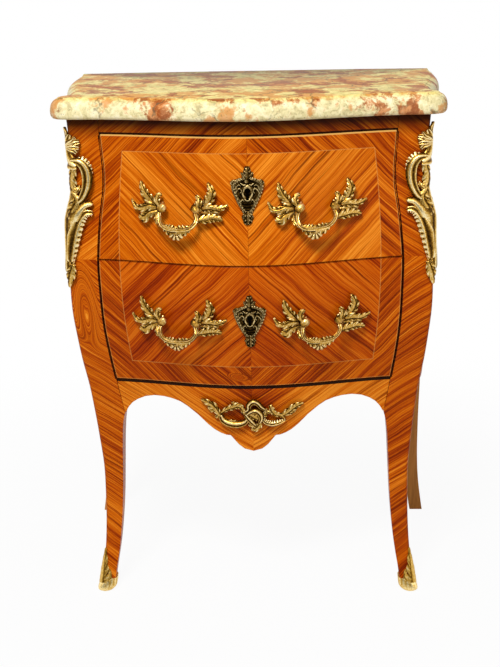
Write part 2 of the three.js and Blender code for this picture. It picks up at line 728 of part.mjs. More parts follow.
function frond(place, size, { course, breadth, relief = [0.03, 0.03], sides = 4 }) {
  const steps = course.length - 1;
  const curve = new THREE.CatmullRomCurve3(course.map((row) => new THREE.Vector3(...row)));
  const rings = [];
  for (let i = 0; i <= steps; i += 1) {
    const part = i / steps;
    const point = curve.getPoint(part);
    const along = curve.getTangent(part);
    const across = new THREE.Vector2(-along.y, along.x).normalize();
    const ring = [];
    for (let k = 0; k < sides; k += 1) {
      const turn = (2 * Math.PI * k) / sides;
      const out = (Math.cos(turn) * readAlong(breadth, part)) / 2;
      const lift = (Math.sin(turn) * readAlong(relief, part)) / 2;
      const height = Math.max(size * (point.z + lift), mountGap);
      ring.push(place(size * (point.x + across.x * out), size * (point.y + across.y * out), height));
    }
    rings.push(ring);
  }
  return loft(rings);
}

// A casting is its fronds joined; joining can leave a stray sliver, so the largest body is kept
function casting(place, size, fronds) {
  const joined = fronds.map((shape) => frond(place, size, shape)).reduce((whole, next) => whole.add(next));
  return joined.decompose().reduce((large, next) => (next.volume() > large.volume() ? next : large));
}

// Places on the front face, from a centre on it
const onFront = (centreX, centreZ) => (x, z, height) => new THREE.Vector3(
  centreX + x,
  frontY(centreX + x, centreZ + z) - height,
  centreZ + z,
);

// Places round the right front corner: `inward` is the distance from the arris on the front face, and
// below zero it is the distance back on the side. Flat facets stand a little higher where they bridge
// the round of the arris
const onCorner = (bottom) => (inward, up, over) => {
  const z = bottom + up;
  const height = over + cornerLift * THREE.MathUtils.clamp(2 - Math.abs(inward) / arrisRadius, 0, 1);
  const { arrisX } = caseAt(z);
  const [endX, endY] = frontPoints(z)[frontColumns];
  if (inward > arrisRadius) return new THREE.Vector3(arrisX - inward, frontY(arrisX - inward, z) - height, z);
  if (inward < -arrisRadius) {
    const y = endY - inward;
    return new THREE.Vector3(readTable(sidePoints(z), y) + height, y, z);
  }
  const turn = -(Math.PI / 4) * (1 + inward / arrisRadius);
  const reach = arrisRadius + height;
  return new THREE.Vector3(endX + reach * Math.cos(turn), endY + arrisRadius + reach * Math.sin(turn), z);
};

// Handle: a low bail between two scrolled bosses, each with three leaves, and a shell under the middle
const handleShares = [
  {
    course: [
      [-0.172, 0.083, 0.045], [-0.195, 0.01, 0.11], [-0.175, -0.067, 0.155], [-0.10, -0.107, 0.17],
      [0.02, -0.107, 0.175], [0.12, -0.085, 0.165], [0.182, -0.01, 0.125], [0.158, 0.085, 0.045],
    ],
    breadth: [0.05, 0.042, 0.045, 0.055, 0.055, 0.045, 0.042, 0.05],
    relief: [0.05, 0.045, 0.045, 0.045, 0.05],
    sides: 5,
  },
  { course: [[-0.25, 0.065, 0.02], [-0.14, 0.085, 0.02]], breadth: [0.1, 0.1],
    relief: [0.04, 0.08, 0.05] },
  { course: [[-0.205, 0.06, 0.05], [-0.18, 0.105, 0.09], [-0.148, 0.08, 0.075]], breadth: [0.06, 0.085, 0.05],
    relief: [0.06, 0.07, 0.04] },
  { course: [[-0.195, 0.11, 0.07], [-0.215, 0.175, 0.08], [-0.18, 0.207, 0.07]], breadth: [0.05, 0.055, 0.04] },
  { course: [[-0.23, 0.09, 0.03], [-0.30, 0.165, 0.045], [-0.352, 0.24, 0.055], [-0.383, 0.335, 0.04]],
    breadth: [0.09, 0.10, 0.08, 0.02] },
  { course: [[-0.215, 0.075, 0.03], [-0.30, 0.087, 0.065], [-0.38, 0.062, 0.055], [-0.44, 0.08, 0.045],
    [-0.485, 0.15, 0.03]], breadth: [0.07, 0.065, 0.055, 0.04, 0.015] },
  { course: [[-0.21, 0.045, 0.03], [-0.30, 0.01, 0.055], [-0.36, -0.025, 0.055], [-0.405, 0.0, 0.035]],
    breadth: [0.06, 0.06, 0.08, 0.04] },
  { course: [[-0.235, 0.01, 0.05], [-0.225, -0.045, 0.11], [-0.18, -0.085, 0.145]], breadth: [0.04, 0.05, 0.02] },
  { course: [[0.25, 0.065, 0.02], [0.14, 0.085, 0.02]], breadth: [0.1, 0.1],
    relief: [0.04, 0.08, 0.05] },
  { course: [[0.2, 0.065, 0.05], [0.178, 0.105, 0.09], [0.147, 0.075, 0.075]], breadth: [0.06, 0.085, 0.06],
    relief: [0.06, 0.07, 0.04] },
  { course: [[0.19, 0.11, 0.07], [0.207, 0.165, 0.08], [0.187, 0.207, 0.07]], breadth: [0.05, 0.055, 0.035] },
  { course: [[0.235, 0.09, 0.03], [0.31, 0.175, 0.045], [0.335, 0.25, 0.055], [0.293, 0.337, 0.03]],
    breadth: [0.08, 0.11, 0.09, 0.02] },
  { course: [[0.225, 0.075, 0.03], [0.31, 0.092, 0.065], [0.38, 0.082, 0.055], [0.44, 0.095, 0.045],
    [0.495, 0.125, 0.03]], breadth: [0.07, 0.06, 0.05, 0.04, 0.015] },
  { course: [[0.185, -0.03, 0.11], [0.27, -0.015, 0.075], [0.33, 0.015, 0.055], [0.385, 0.005, 0.045],
    [0.44, -0.025, 0.035]], breadth: [0.05, 0.07, 0.06, 0.055, 0.04] },
  { course: [[-0.03, -0.11, 0.165], [-0.03, -0.17, 0.155], [-0.03, -0.232, 0.13]], breadth: [0.10, 0.14, 0.08],
    relief: [0.04, 0.05, 0.03] },
];

for (const drawer of drawers) {
  const { name, low, posts, inner } = drawer;
  for (const side of [-1, 1]) {
    const hand = side < 0 ? 'left' : 'right';
    let handle = casting(onFront(side * drawer.spread, low + drawer.rise), handleWidth, handleShares);
    for (const post of posts.filter((one) => one.side === side)) {
      const nutFront = bowedY(inner, Math.abs(post.x) + nutRadius) + seatGap;
      const postEnd = nutFront + nutThickness + postProud;
      const postStart = frontY(post.x, post.z) - postRadius * 2;
      handle = handle.add(rod(post.x, post.z, postRadius, postStart, postEnd, 6));
      const nut = rod(post.x, post.z, nutRadius, nutFront, nutFront + nutThickness, 6)
        .subtract(rod(post.x, post.z, postRadius + holeClearance, nutFront - overrun, postEnd + overrun, 6));
      const end = post.end < 0 ? 'left' : 'right';
      addPiece(`${name}_${hand}_handle_${end}_nut`, nut, materials.steel);
    }
    addPiece(`${name}_${hand}_handle`, handle, materials.gilt);
  }
}

// Escutcheon: a dished cartouche with a raised rim, a crown, two ears and a pendant. Rows: height in
// its height, half-width in its width
const escutcheonShares = [
  [0, 0.03], [0.047, 0.11], [0.10, 0.15], [0.165, 0.11], [0.235, 0.21], [0.295, 0.2], [0.41, 0.31],
  [0.527, 0.43], [0.635, 0.485], [0.715, 0.485], [0.75, 0.34], [0.80, 0.2], [0.88, 0.16], [0.95, 0.12],
  [1, 0.08],
];
const rimShares = [[-1, 0.35], [-0.8, 1], [0, 0.5], [0.8, 1], [1, 0.35]];

for (const { name, keyZ } of drawers) {
  const bottom = keyZ - keyholeHeight / 2 - escutcheonHeight * escutcheonKeyShare;
  const place = onFront(0, bottom);
  const rings = escutcheonShares.map(([up, wide]) => {
    const half = wide * escutcheonWidth;
    const back = rimShares.map(([across]) => place(across * half, up * escutcheonHeight, mountGap));
    const face = rimShares.map(([across, lift]) => place(
      across * half,
      up * escutcheonHeight,
      mountGap + escutcheonRelief * lift,
    ));
    return [...back, ...face.reverse()];
  });
  const plate = loft(rings).subtract(keyhole(0, keyZ, bellyFront - frontBow - overrun, 0));
  addPiece(`${name}_escutcheon`, plate, materials.darkBronze);
}

// Corner mount: a fan leaf, an S-stem into a pierced C-scroll with a leaf inside, two horns that sweep
// down to the arris, and a bud at the foot
const chuteShares = [
  { course: [[-0.006, 0.875, 0.012], [-0.008, 0.925, 0.012], [-0.012, 0.965, 0.012], [-0.026, 0.996, 0.016]],
    breadth: [0.035, 0.03, 0.03, 0.01], relief: [0.024, 0.024] },
  { course: [[-0.01, 0.875, 0.016], [0.003, 0.92, 0.016], [0.018, 0.955, 0.02]], breadth: [0.03, 0.05, 0.02] },
  { course: [[-0.01, 0.875, 0.016], [0.035, 0.912, 0.03], [0.074, 0.919, 0.02]], breadth: [0.03, 0.05, 0.02] },
  { course: [[-0.01, 0.875, 0.016], [0.026, 0.872, 0.024], [0.05, 0.845, 0.02]], breadth: [0.03, 0.05, 0.03] },
  { course: [[-0.008, 0.9, 0.012], [-0.018, 0.845, 0.012], [0.002, 0.79, 0.016], [0.035, 0.758, 0.03]],
    breadth: [0.035, 0.042, 0.042, 0.035] },
  { course: [[0, 0.79, 0.016], [0.048, 0.79, 0.035], [0.086, 0.757, 0.038], [0.1, 0.7, 0.038],
    [0.094, 0.636, 0.038], [0.073, 0.58, 0.035], [0.045, 0.545, 0.03], [0, 0.53, 0.016]],
  breadth: [0.03, 0.035, 0.042, 0.045, 0.042, 0.035, 0.03, 0.03], sides: 5 },
  { course: [[0.036, 0.79, 0.025], [0.07, 0.8, 0.03], [0.102, 0.772, 0.03], [0.116, 0.727, 0.02]],
    breadth: [0.03, 0.04, 0.035, 0.01] },
  { course: [[-0.045, 0.769, 0.016], [-0.01, 0.754, 0.016], [0.04, 0.75, 0.03]], breadth: [0.04, 0.035, 0.03] },
  { course: [[0.015, 0.76, 0.02], [0.016, 0.725, 0.022], [0.006, 0.678, 0.016], [0.01, 0.63, 0.016],
    [0.035, 0.587, 0.025]], breadth: [0.03, 0.035, 0.04, 0.045, 0.02]},
  { course: [[0.02, 0.6, 0.024], [0.042, 0.62, 0.03], [0.05, 0.645, 0.02]], breadth: [0.03, 0.025, 0.01] },
  { course: [[0.004, 0.75, 0.006], [0, 0.65, 0.006], [0, 0.59, 0.008], [-0.012, 0.51, 0.012]],
    breadth: [0.03, 0.035, 0.035, 0.045], relief: [0.018, 0.03] },
  { course: [[0.138, 0.531, 0.02], [0.08, 0.517, 0.03], [0.036, 0.461, 0.036], [0.012, 0.385, 0.016],
    [0.003, 0.27, 0.016], [-0.002, 0.16, 0.016]], breadth: [0.02, 0.03, 0.036, 0.04, 0.04, 0.03] },
  { course: [[0.142, 0.47, 0.02], [0.096, 0.467, 0.03], [0.06, 0.42, 0.03], [0.038, 0.336, 0.03],
    [0.027, 0.245, 0.024], [0.02, 0.165, 0.02]], breadth: [0.03, 0.045, 0.055, 0.055, 0.045, 0.03] },
  { course: [[-0.012, 0.56, 0.016], [-0.03, 0.461, 0.016], [-0.033, 0.399, 0.016], [-0.022, 0.315, 0.016],
    [-0.014, 0.217, 0.016], [-0.006, 0.09, 0.016]], breadth: [0.04, 0.06, 0.07, 0.055, 0.05, 0.04] },
  { course: [[0.03, 0.155, 0.02], [0.022, 0.091, 0.024], [0.006, 0, 0.012]], breadth: [0.03, 0.05, 0.01] },
  { course: [[-0.01, 0.77, 0.012], [-0.07, 0.745, 0.008], [-0.095, 0.68, 0.008], [-0.085, 0.61, 0.008],
    [-0.05, 0.555, 0.008], [-0.005, 0.53, 0.012]], breadth: [0.03, 0.04, 0.045, 0.04, 0.035, 0.03],
  relief: [0.018, 0.018] },
  { course: [[-0.1, 0.5, 0.01], [-0.065, 0.465, 0.012], [-0.045, 0.38, 0.014], [-0.03, 0.25, 0.014]],
    breadth: [0.02, 0.045, 0.05, 0.03], relief: [0.02, 0.03] },
];

const chute = casting(onCorner(caseTop - chuteDrop - chuteHeight), chuteHeight, chuteShares);
addPiece('right_corner_mount', chute, materials.gilt);
addPiece('left_corner_mount', mirrorX(chute), materials.gilt);

// Apron mount: an uneven cartouche between pierced scrolls and two leaves
const apronMountShares = [
  { course: [[-0.30, -0.01, 0.02], [-0.338, 0.054, 0.035], [-0.379, 0.113, 0.04], [-0.442, 0.15, 0.035],
    [-0.497, 0.168, 0.02]], breadth: [0.04, 0.05, 0.07, 0.055, 0.02] },
  { course: [[-0.325, 0.05, 0.03], [-0.334, 0.004, 0.03], [-0.362, -0.02, 0.025]], breadth: [0.03, 0.025, 0.03] },
  { course: [[-0.31, 0.02, 0.02], [-0.286, -0.046, 0.03], [-0.226, -0.084, 0.035], [-0.144, -0.094, 0.035],
    [-0.077, -0.067, 0.035], [-0.045, -0.01, 0.03]], breadth: [0.04, 0.045, 0.05, 0.05, 0.045, 0.03] },
  { course: [[-0.31, 0.03, 0.02], [-0.252, 0.077, 0.03], [-0.193, 0.104, 0.03], [-0.137, 0.121, 0.03],
    [-0.095, 0.088, 0.03], [-0.08, 0.02, 0.03]], breadth: [0.03, 0.035, 0.035, 0.04, 0.04, 0.03] },
  { course: [[-0.12, 0.11, 0.03], [-0.155, 0.138, 0.03], [-0.202, 0.152, 0.02]], breadth: [0.03, 0.035, 0.01] },
  { course: [[-0.10, 0.04, 0.03], [-0.04, 0.075, 0.03], [-0.033, 0.125, 0.035], [0.004, 0.16, 0.035],
    [0.049, 0.148, 0.035], [0.083, 0.104, 0.03], [0.125, 0.075, 0.025]],
  breadth: [0.03, 0.03, 0.035, 0.04, 0.035, 0.035, 0.03] },
  { course: [[-0.07, 0.01, 0.03], [-0.018, 0.057, 0.045], [0.034, 0.071, 0.05], [0.077, 0.033, 0.05],
    [0.083, -0.02, 0.045], [0.06, -0.085, 0.035]], breadth: [0.03, 0.045, 0.045, 0.045, 0.04, 0.03] },
  { course: [[-0.075, 0.03, 0.03], [-0.029, -0.029, 0.04], [0.004, -0.075, 0.04], [0.03, -0.11, 0.035]],
    breadth: [0.035, 0.045, 0.045, 0.03] },
  { course: [[-0.05, 0.03, 0.015], [0.01, 0.015, 0.02], [0.07, -0.02, 0.015]], breadth: [0.03, 0.11, 0.05],
    relief: [0.02, 0.03, 0.02] },
  { course: [[0.08, -0.04, 0.03], [0.06, -0.113, 0.035], [0.019, -0.159, 0.035], [-0.022, -0.155, 0.02]],
    breadth: [0.03, 0.05, 0.045, 0.02] },
  { course: [[0.07, 0.04, 0.03], [0.12, 0.03, 0.04], [0.135, 0.09, 0.025]], breadth: [0.05, 0.05, 0.02] },
  { course: [[0.085, 0.0, 0.03], [0.123, -0.058, 0.035], [0.187, -0.085, 0.035], [0.261, -0.069, 0.03],
    [0.321, -0.046, 0.02]], breadth: [0.03, 0.045, 0.05, 0.045, 0.02] },
  { course: [[0.168, 0.121, 0.02], [0.187, 0.075, 0.03], [0.215, 0.03, 0.03], [0.272, 0.008, 0.03],
    [0.30, -0.04, 0.02]], breadth: [0.04, 0.045, 0.045, 0.04, 0.03] },
  { course: [[0.11, 0.05, 0.02], [0.16, 0.05, 0.03], [0.22, 0.03, 0.03]], breadth: [0.03, 0.035, 0.03] },
  { course: [[0.26, -0.005, 0.02], [0.328, 0.038, 0.035], [0.391, 0.088, 0.035], [0.443, 0.113, 0.03],
    [0.492, 0.124, 0.02]], breadth: [0.035, 0.05, 0.055, 0.045, 0.015] },
];
addPiece('apron_mount', casting(onFront(0, apronMountHeight), apronMountWidth, apronMountShares), materials.gilt);

// Shoe on a front foot: a cup round the foot with a scrolled toe and a leaf up the arris
const shoeShares = [
  [0, 0.87, 0.6], [0.2, 1, 1], [0.45, 0.96, 0.8], [0.7, 0.88, 0.35], [0.88, 0.8, 0.12], [1, 0.72, 0],
];

function footSection(z, grow, cut, toe) {
  const { arrisX, arrisY } = caseAt(z);
  const x0 = stileInnerX(z) - grow;
  const y0 = frontY(stileInnerX(z), z) - grow;
  const x1 = arrisX + grow;
  const y1 = arrisY + legTopDepth * legTaper(z) + grow;
  const corners = [
    [x0 + cut, y0], [x1 - cut, y0 - toe / 2], [x1 + toe / 2, y0 - toe / 2], [x1 + toe / 2, y0 + cut],
    [x1, y1 - cut], [x1 - cut, y1], [x0 + cut, y1], [x0, y1 - cut], [x0, y0 + cut],
  ];
  return corners.map(([x, y]) => new THREE.Vector3(x, y, z));
}

function shoe() {
  const outer = loft(shoeShares.map(([up, wall, toe]) => (
    footSection(up * sabotHeight, sabotWall * wall, sabotChamfer, sabotToe * toe)
  )));
  const leaf = casting(onCorner(0), sabotLeafHeight, [
    { course: [[0.0, 0.16, 0.045], [0.01, 0.52, 0.04], [0.0, 0.98, 0.02]], breadth: [0.32, 0.24, 0.05],
      relief: [0.06, 0.06, 0.03] },
    { course: [[0.08, 0.18, 0.035], [0.17, 0.33, 0.035], [0.15, 0.5, 0.02]], breadth: [0.12, 0.12, 0.03],
      relief: [0.06, 0.05, 0.03] },
    { course: [[-0.08, 0.18, 0.035], [-0.17, 0.33, 0.035], [-0.15, 0.5, 0.02]], breadth: [0.12, 0.12, 0.03],
      relief: [0.06, 0.05, 0.03] },
  ]);
  const heights = [soleThickness, ...legLevels.filter((z) => z > soleThickness && z < legTopHeight / 2)];
  const hollow = loft(heights.map((z) => footSection(z, seatGap, 0, 0)));
  return outer.add(leaf).subtract(hollow);
}

const rightShoe = shoe();
addPiece('right_shoe', rightShoe, materials.gilt);
addPiece('left_shoe', mirrorX(rightShoe), materials.gilt);

const box = new THREE.Box3().setFromObject(commode);
commode.position.y = -(box.min.y + box.max.y) / 2;

export default commode;
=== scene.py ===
import json
import math
import bpy
import numpy as np
from mathutils import Matrix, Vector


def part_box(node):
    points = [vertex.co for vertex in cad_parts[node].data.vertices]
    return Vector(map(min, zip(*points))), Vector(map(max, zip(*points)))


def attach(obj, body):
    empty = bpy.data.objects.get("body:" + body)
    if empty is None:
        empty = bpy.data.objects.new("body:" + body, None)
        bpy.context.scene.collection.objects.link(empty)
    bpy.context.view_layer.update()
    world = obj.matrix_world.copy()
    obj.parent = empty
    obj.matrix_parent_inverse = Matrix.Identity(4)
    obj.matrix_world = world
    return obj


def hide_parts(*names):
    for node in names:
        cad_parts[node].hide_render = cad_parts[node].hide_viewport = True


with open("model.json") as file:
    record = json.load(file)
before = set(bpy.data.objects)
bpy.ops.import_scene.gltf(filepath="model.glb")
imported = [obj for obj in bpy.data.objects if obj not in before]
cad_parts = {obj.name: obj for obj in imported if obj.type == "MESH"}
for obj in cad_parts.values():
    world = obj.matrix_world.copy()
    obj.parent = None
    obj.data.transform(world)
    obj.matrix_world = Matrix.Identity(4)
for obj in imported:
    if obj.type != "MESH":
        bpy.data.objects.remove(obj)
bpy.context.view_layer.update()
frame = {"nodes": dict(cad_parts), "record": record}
print("frame loaded")

# Places are in metres. The case's own back plane lies behind the middle of the overall box
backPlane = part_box("back_panel")[1][1]
hands = ((-1, "left"), (1, "right"))


# Smooth reading of a table: cubic pieces through its rows, each row's slope taken from its neighbours
def smoothRead(table, at, column=1):
    x, y = table[:, 0], table[:, column]
    slope = np.gradient(y, x)
    at = np.clip(at, x[0], x[-1])
    row = np.clip(np.searchsorted(x, at, side="right") - 1, 0, len(x) - 2)
    span = x[row + 1] - x[row]
    t = (at - x[row]) / span
    return ((2 * t**3 - 3 * t**2 + 1) * y[row] + (t**3 - 2 * t**2 + t) * span * slope[row]
            + (3 * t**2 - 2 * t**3) * y[row + 1] + (t**3 - t**2) * span * slope[row + 1])


# Course through points: the smooth reading of each of their values, by their number
def runThrough(course, count):
    table = np.concatenate([np.arange(len(course))[:, None], course], 1)
    at = np.linspace(0, len(course) - 1, count)
    return np.stack([smoothRead(table, at, column) for column in range(1, table.shape[1])], -1)


# Smooth step: 0 below low, 1 above high, 3t^2 - 2t^3 between
def ease(value, low, high):
    t = np.clip((value - low) / (high - low), 0, 1)
    return t * t * (3 - 2 * t)


# A grid of points from places that may each be one number, a row, a column or a grid
def pointsAt(x, y, z):
    return np.stack(np.broadcast_arrays(x, y, z), -1)


# Faces of a tube of rings: neighbours in a ring and in the next ring make a quad, and a fan closes
# each end. A tube whose volume comes out negative is turned over
def tubeFaces(points, start):
    rows, columns = points.shape[:2]
    index = start + np.arange(rows * columns).reshape(rows, columns)
    nextColumn = np.roll(index, -1, axis=1)
    quads = np.stack([index[:-1], nextColumn[:-1], nextColumn[1:], index[1:]], -1).reshape(-1, 4)
    ends = start + rows * columns + np.arange(2)
    low = np.stack([np.full(columns, ends[0]), nextColumn[0], index[0]], -1)
    high = np.stack([np.full(columns, ends[1]), index[-1], nextColumn[-1]], -1)
    places = np.concatenate([points.reshape(-1, 3), points[0].mean(0)[None], points[-1].mean(0)[None]])
    tris = np.concatenate([low, high])
    a, b, c, d = (places[quads[:, i] - start] for i in range(4))
    volume = (a * (np.cross(b, c) + np.cross(c, d))).sum()
    a, b, c = (places[tris[:, i] - start] for i in range(3))
    volume += (a * np.cross(b, c)).sum()
    if volume < 0:
        quads, tris = quads[:, ::-1], tris[:, ::-1]
    return places, quads, tris


# One object from any number of closed tubes, each with its point values by name. "shade" is painted shade
# and highlight, 0 in a hollow and 1 on a ridge; "edge" and "top" are distances in metres from a veneered
# panel's rims
def makePiece(name, tubes, material, body, nodes, sharp=40):
    allPoints, allQuads, allTris = [], [], []
    allValues = {label: [] for label in tubes[0][1]}
    start = 0
    for points, values in tubes:
        places, quads, tris = tubeFaces(points, start)
        allPoints.append(places)
        allQuads.append(quads)
        allTris.append(tris)
        for label, store in allValues.items():
            grid = np.broadcast_to(np.asarray(values[label], float), points.shape[:2])
            store.append(np.concatenate([grid.reshape(-1), [grid[0].mean(), grid[-1].mean()]]))
        start += len(places)
    faces = np.concatenate(allQuads).tolist() + np.concatenate(allTris).tolist()
    mesh = bpy.data.meshes.new(name)
    mesh.from_pydata(np.concatenate(allPoints).tolist(), [], faces)
    for label, values in allValues.items():
        layer = mesh.attributes.new(label, "FLOAT", "POINT")
        layer.data.foreach_set("value", np.concatenate(values).astype(np.float32))
    mesh.polygons.foreach_set("use_smooth", np.ones(len(mesh.polygons), bool))
    mesh.set_sharp_from_angle(angle=math.radians(sharp))
    mesh.materials.append(material)
    piece = bpy.data.objects.new(name, mesh)
    bpy.context.scene.collection.objects.link(piece)
    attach(piece, body)
    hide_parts(*nodes)


caseForm = {"top": 0.788, "halfWidth": 0.280, "depth": 0.348, "bow": 0.057, "arris": 0.006}
bellyFront = backPlane - caseForm["depth"]

# Height, half-width at the arris, set-back, bow and half-width at the back, as shares of the case's sizes
stations = np.array([
    [0, 0.936, 0.029, 0.82, 1.075], [0.014, 0.932, 0.032, 0.82, 1.069],
    [0.047, 0.920, 0.052, 0.82, 1.056], [0.09, 0.906, 0.075, 0.82, 1.042],
    [0.147, 0.896, 0.092, 0.82, 1.033], [0.207, 0.892, 0.101, 0.82, 1.031],
    [0.274, 0.892, 0.101, 0.80, 1.033], [0.334, 0.905, 0.092, 0.79, 1.036],
    [0.396, 0.921, 0.078, 0.80, 1.037], [0.457, 0.940, 0.060, 0.79, 1.04],
    [0.518, 0.967, 0.037, 0.80, 1.045], [0.571, 0.984, 0.017, 0.86, 1.054],
    [0.622, 0.9975, 0.004, 0.91, 1.061], [0.673, 1, 0, 0.965, 1.064], [0.73, 0.992, 0.003, 1, 1.061],
    [0.78, 0.980, 0.013, 0.99, 1.054], [0.825, 0.968, 0.024, 0.95, 1.043],
    [0.876, 0.957, 0.034, 0.905, 1.034], [0.92, 0.959, 0.040, 0.895, 1.032],
    [0.961, 0.966, 0.040, 0.895, 1.036], [1, 0.974, 0.037, 0.895, 1.043],
])
# Distance behind the arris, and the share of the way to the back's half-width there
sideSwell = np.array([
    [0, 0], [0.12, -0.26], [0.25, 0.02], [0.4, 0.5], [0.55, 0.86], [0.7, 1.02], [0.85, 1.05], [1, 1],
])
# Height and half-width of the opening for the drawers, as shares
openingEdge = np.array([
    [0.4695, 0.777], [0.523, 0.8], [0.588, 0.821], [0.666, 0.831], [0.727, 0.8335], [0.769, 0.825],
    [0.822, 0.808], [0.8655, 0.789], [0.902, 0.7855], [0.942, 0.7935], [0.9735, 0.7985],
])


# The case at a height: half-width and depth of its arris, bow of its front, half-width at the back
def caseAt(z):
    shares = [smoothRead(stations, z / caseForm["top"], column) for column in (1, 2, 3, 4)]
    return (caseForm["halfWidth"] * shares[0], bellyFront + caseForm["depth"] * shares[1],
            caseForm["bow"] * shares[2], caseForm["halfWidth"] * shares[3])


# Serpentine: half a cosine wave, 1 in the middle and 0 at the arris
def serpentine(share):
    return (1 + np.cos(np.pi * np.minimum(np.abs(share), 1))) / 2


# Front face: the arris line less the bow times the serpentine
def frontY(x, z):
    arrisX, arrisY, bow, backX = caseAt(z)
    return arrisY - bow * serpentine(x / arrisX)


# Side face: from the arris half-width towards the back half-width by the swell at that depth
def sideX(y, z):
    arrisX, arrisY, bow, backX = caseAt(z)
    start = arrisY + caseForm["arris"]
    swell = smoothRead(sideSwell, (y - start) / (backPlane - start))
    return arrisX + swell * (backX - arrisX)


# Half-width of the opening for the drawers, read from its table
def openingX(z):
    return caseForm["halfWidth"] * smoothRead(openingEdge, z / caseForm["top"])


# A colour's text, two digits each for red, green and blue, as the linear values that a shader takes
def srgb(text):
    parts = [int(text[i:i + 2], 16) / 255 for i in (1, 3, 5)]
    return tuple(p / 12.92 if p <= 0.04045 else ((p + 0.055) / 1.055) ** 2.4 for p in parts) + (1.0,)


# What comes out of a node, with the operators that are used on it
class Wire:
    def __init__(self, bench, socket):
        self.bench = bench
        self.socket = socket

    def __add__(self, other):
        return self.bench.maths("ADD", self, other)

    def __radd__(self, other):
        return self.bench.maths("ADD", other, self)

    def __sub__(self, other):
        return self.bench.maths("SUBTRACT", self, other)

    def __rsub__(self, other):
        return self.bench.maths("SUBTRACT", other, self)

    def __mul__(self, other):
        return self.bench.maths("MULTIPLY", self, other)

    def __rmul__(self, other):
        return self.bench.maths("MULTIPLY", other, self)

    def __truediv__(self, other):
        return self.bench.maths("DIVIDE", self, other)

    def __abs__(self):
        return self.bench.maths("ABSOLUTE", self)


class Bench:
    def __init__(self, tree):
        self.tree = tree

    # Any node: its settings first, then the values or links of its sockets, by name or number. A ramp's
    # stops and a socket's colour are given by their text
    def node(self, kind, settings=None, sockets=None, out=0):
        made = self.tree.nodes.new("ShaderNode" + kind)
        for label, value in (settings or {}).items():
            if label == "ramp":
                stops = made.color_ramp.elements
                while len(stops) < len(value):
                    stops.new(0.5)
                for stop, (place, tone) in zip(stops, value):
                    stop.position, stop.color = place, srgb(tone)
            else:
                setattr(made, label, value)
        for label, value in (sockets or {}).items():
            if isinstance(value, Wire):
                self.tree.links.new(value.socket, made.inputs[label])
            else:
                made.inputs[label].default_value = srgb(value) if isinstance(value, str) else value
        return Wire(self, made.outputs[out])

    def maths(self, operation, *values):
        return self.node("Math", {"operation": operation}, dict(enumerate(values)))

    def step(self, value, low, high):
        return self.node("MapRange", {"interpolation_type": "SMOOTHSTEP"},
                         {"Value": value, "From Min": low, "From Max": high})

    # 1 between two edges, each with a start and an end
    def band(self, value, start, full, fading, end):
        return self.step(value, start, full) * (1.0 - self.step(value, fading, end))

    def mix(self, share, first, second, blend="MIX"):
        return self.node("Mix", {"data_type": "RGBA", "blend_type": blend},
                         {0: share, 6: first, 7: second}, out=2)

    def join(self, x, y, z):
        return self.node("CombineXYZ", None, {0: x, 1: y, 2: z})

    def axes(self):
        place = self.node("TexCoord", None, None, out=3)
        return place, [self.node("SeparateXYZ", None, {0: place}, out=i) for i in range(3)]

    def noise(self, place, scale, detail, rough, out=0):
        return self.node("TexNoise", None, {"Vector": place, "Scale": scale, "Detail": detail,
                                            "Roughness": rough}, out)

    def ramp(self, value, places, tones):
        return self.node("ValToRGB", {"ramp": list(zip(places, tones))}, {0: value})

    def attribute(self, name):
        return self.node("Attribute", {"attribute_name": name}, None, out=2)

    # 1 for rays from the camera, from metal and through glass, 0 for the light that falls on things
    def seen(self):
        camera, metal, glass = (self.node("LightPath", None, None, f"Is {kind} Ray")
                                for kind in ("Camera", "Glossy", "Transmission"))
        return self.maths("MAXIMUM", self.maths("MAXIMUM", camera, metal), glass)


# A bench over a new material, with the constants of its shader
class Surface(Bench):
    def __init__(self, name, metallic, specular, roughness=0.5):
        self.material = bpy.data.materials.new(name)
        self.material.use_nodes = True
        super().__init__(self.material.node_tree)
        self.shader = self.tree.nodes["Principled BSDF"]
        self.shader.inputs["Roughness"].default_value = roughness
        self.shader.inputs["Metallic"].default_value = metallic
        self.shader.inputs["Specular IOR Level"].default_value = specular

    # What changes over the surface: its colour, its roughness and a bump
    def finish(self, colour, roughness, bump, strength, distance):
        normal = self.node("Bump", None, {"Height": bump, "Strength": strength, "Distance": distance})
        for label, wire in (("Base Color", colour), ("Roughness", roughness), ("Normal", normal)):
            self.tree.links.new(wire.socket, self.shader.inputs[label])
        return self.material


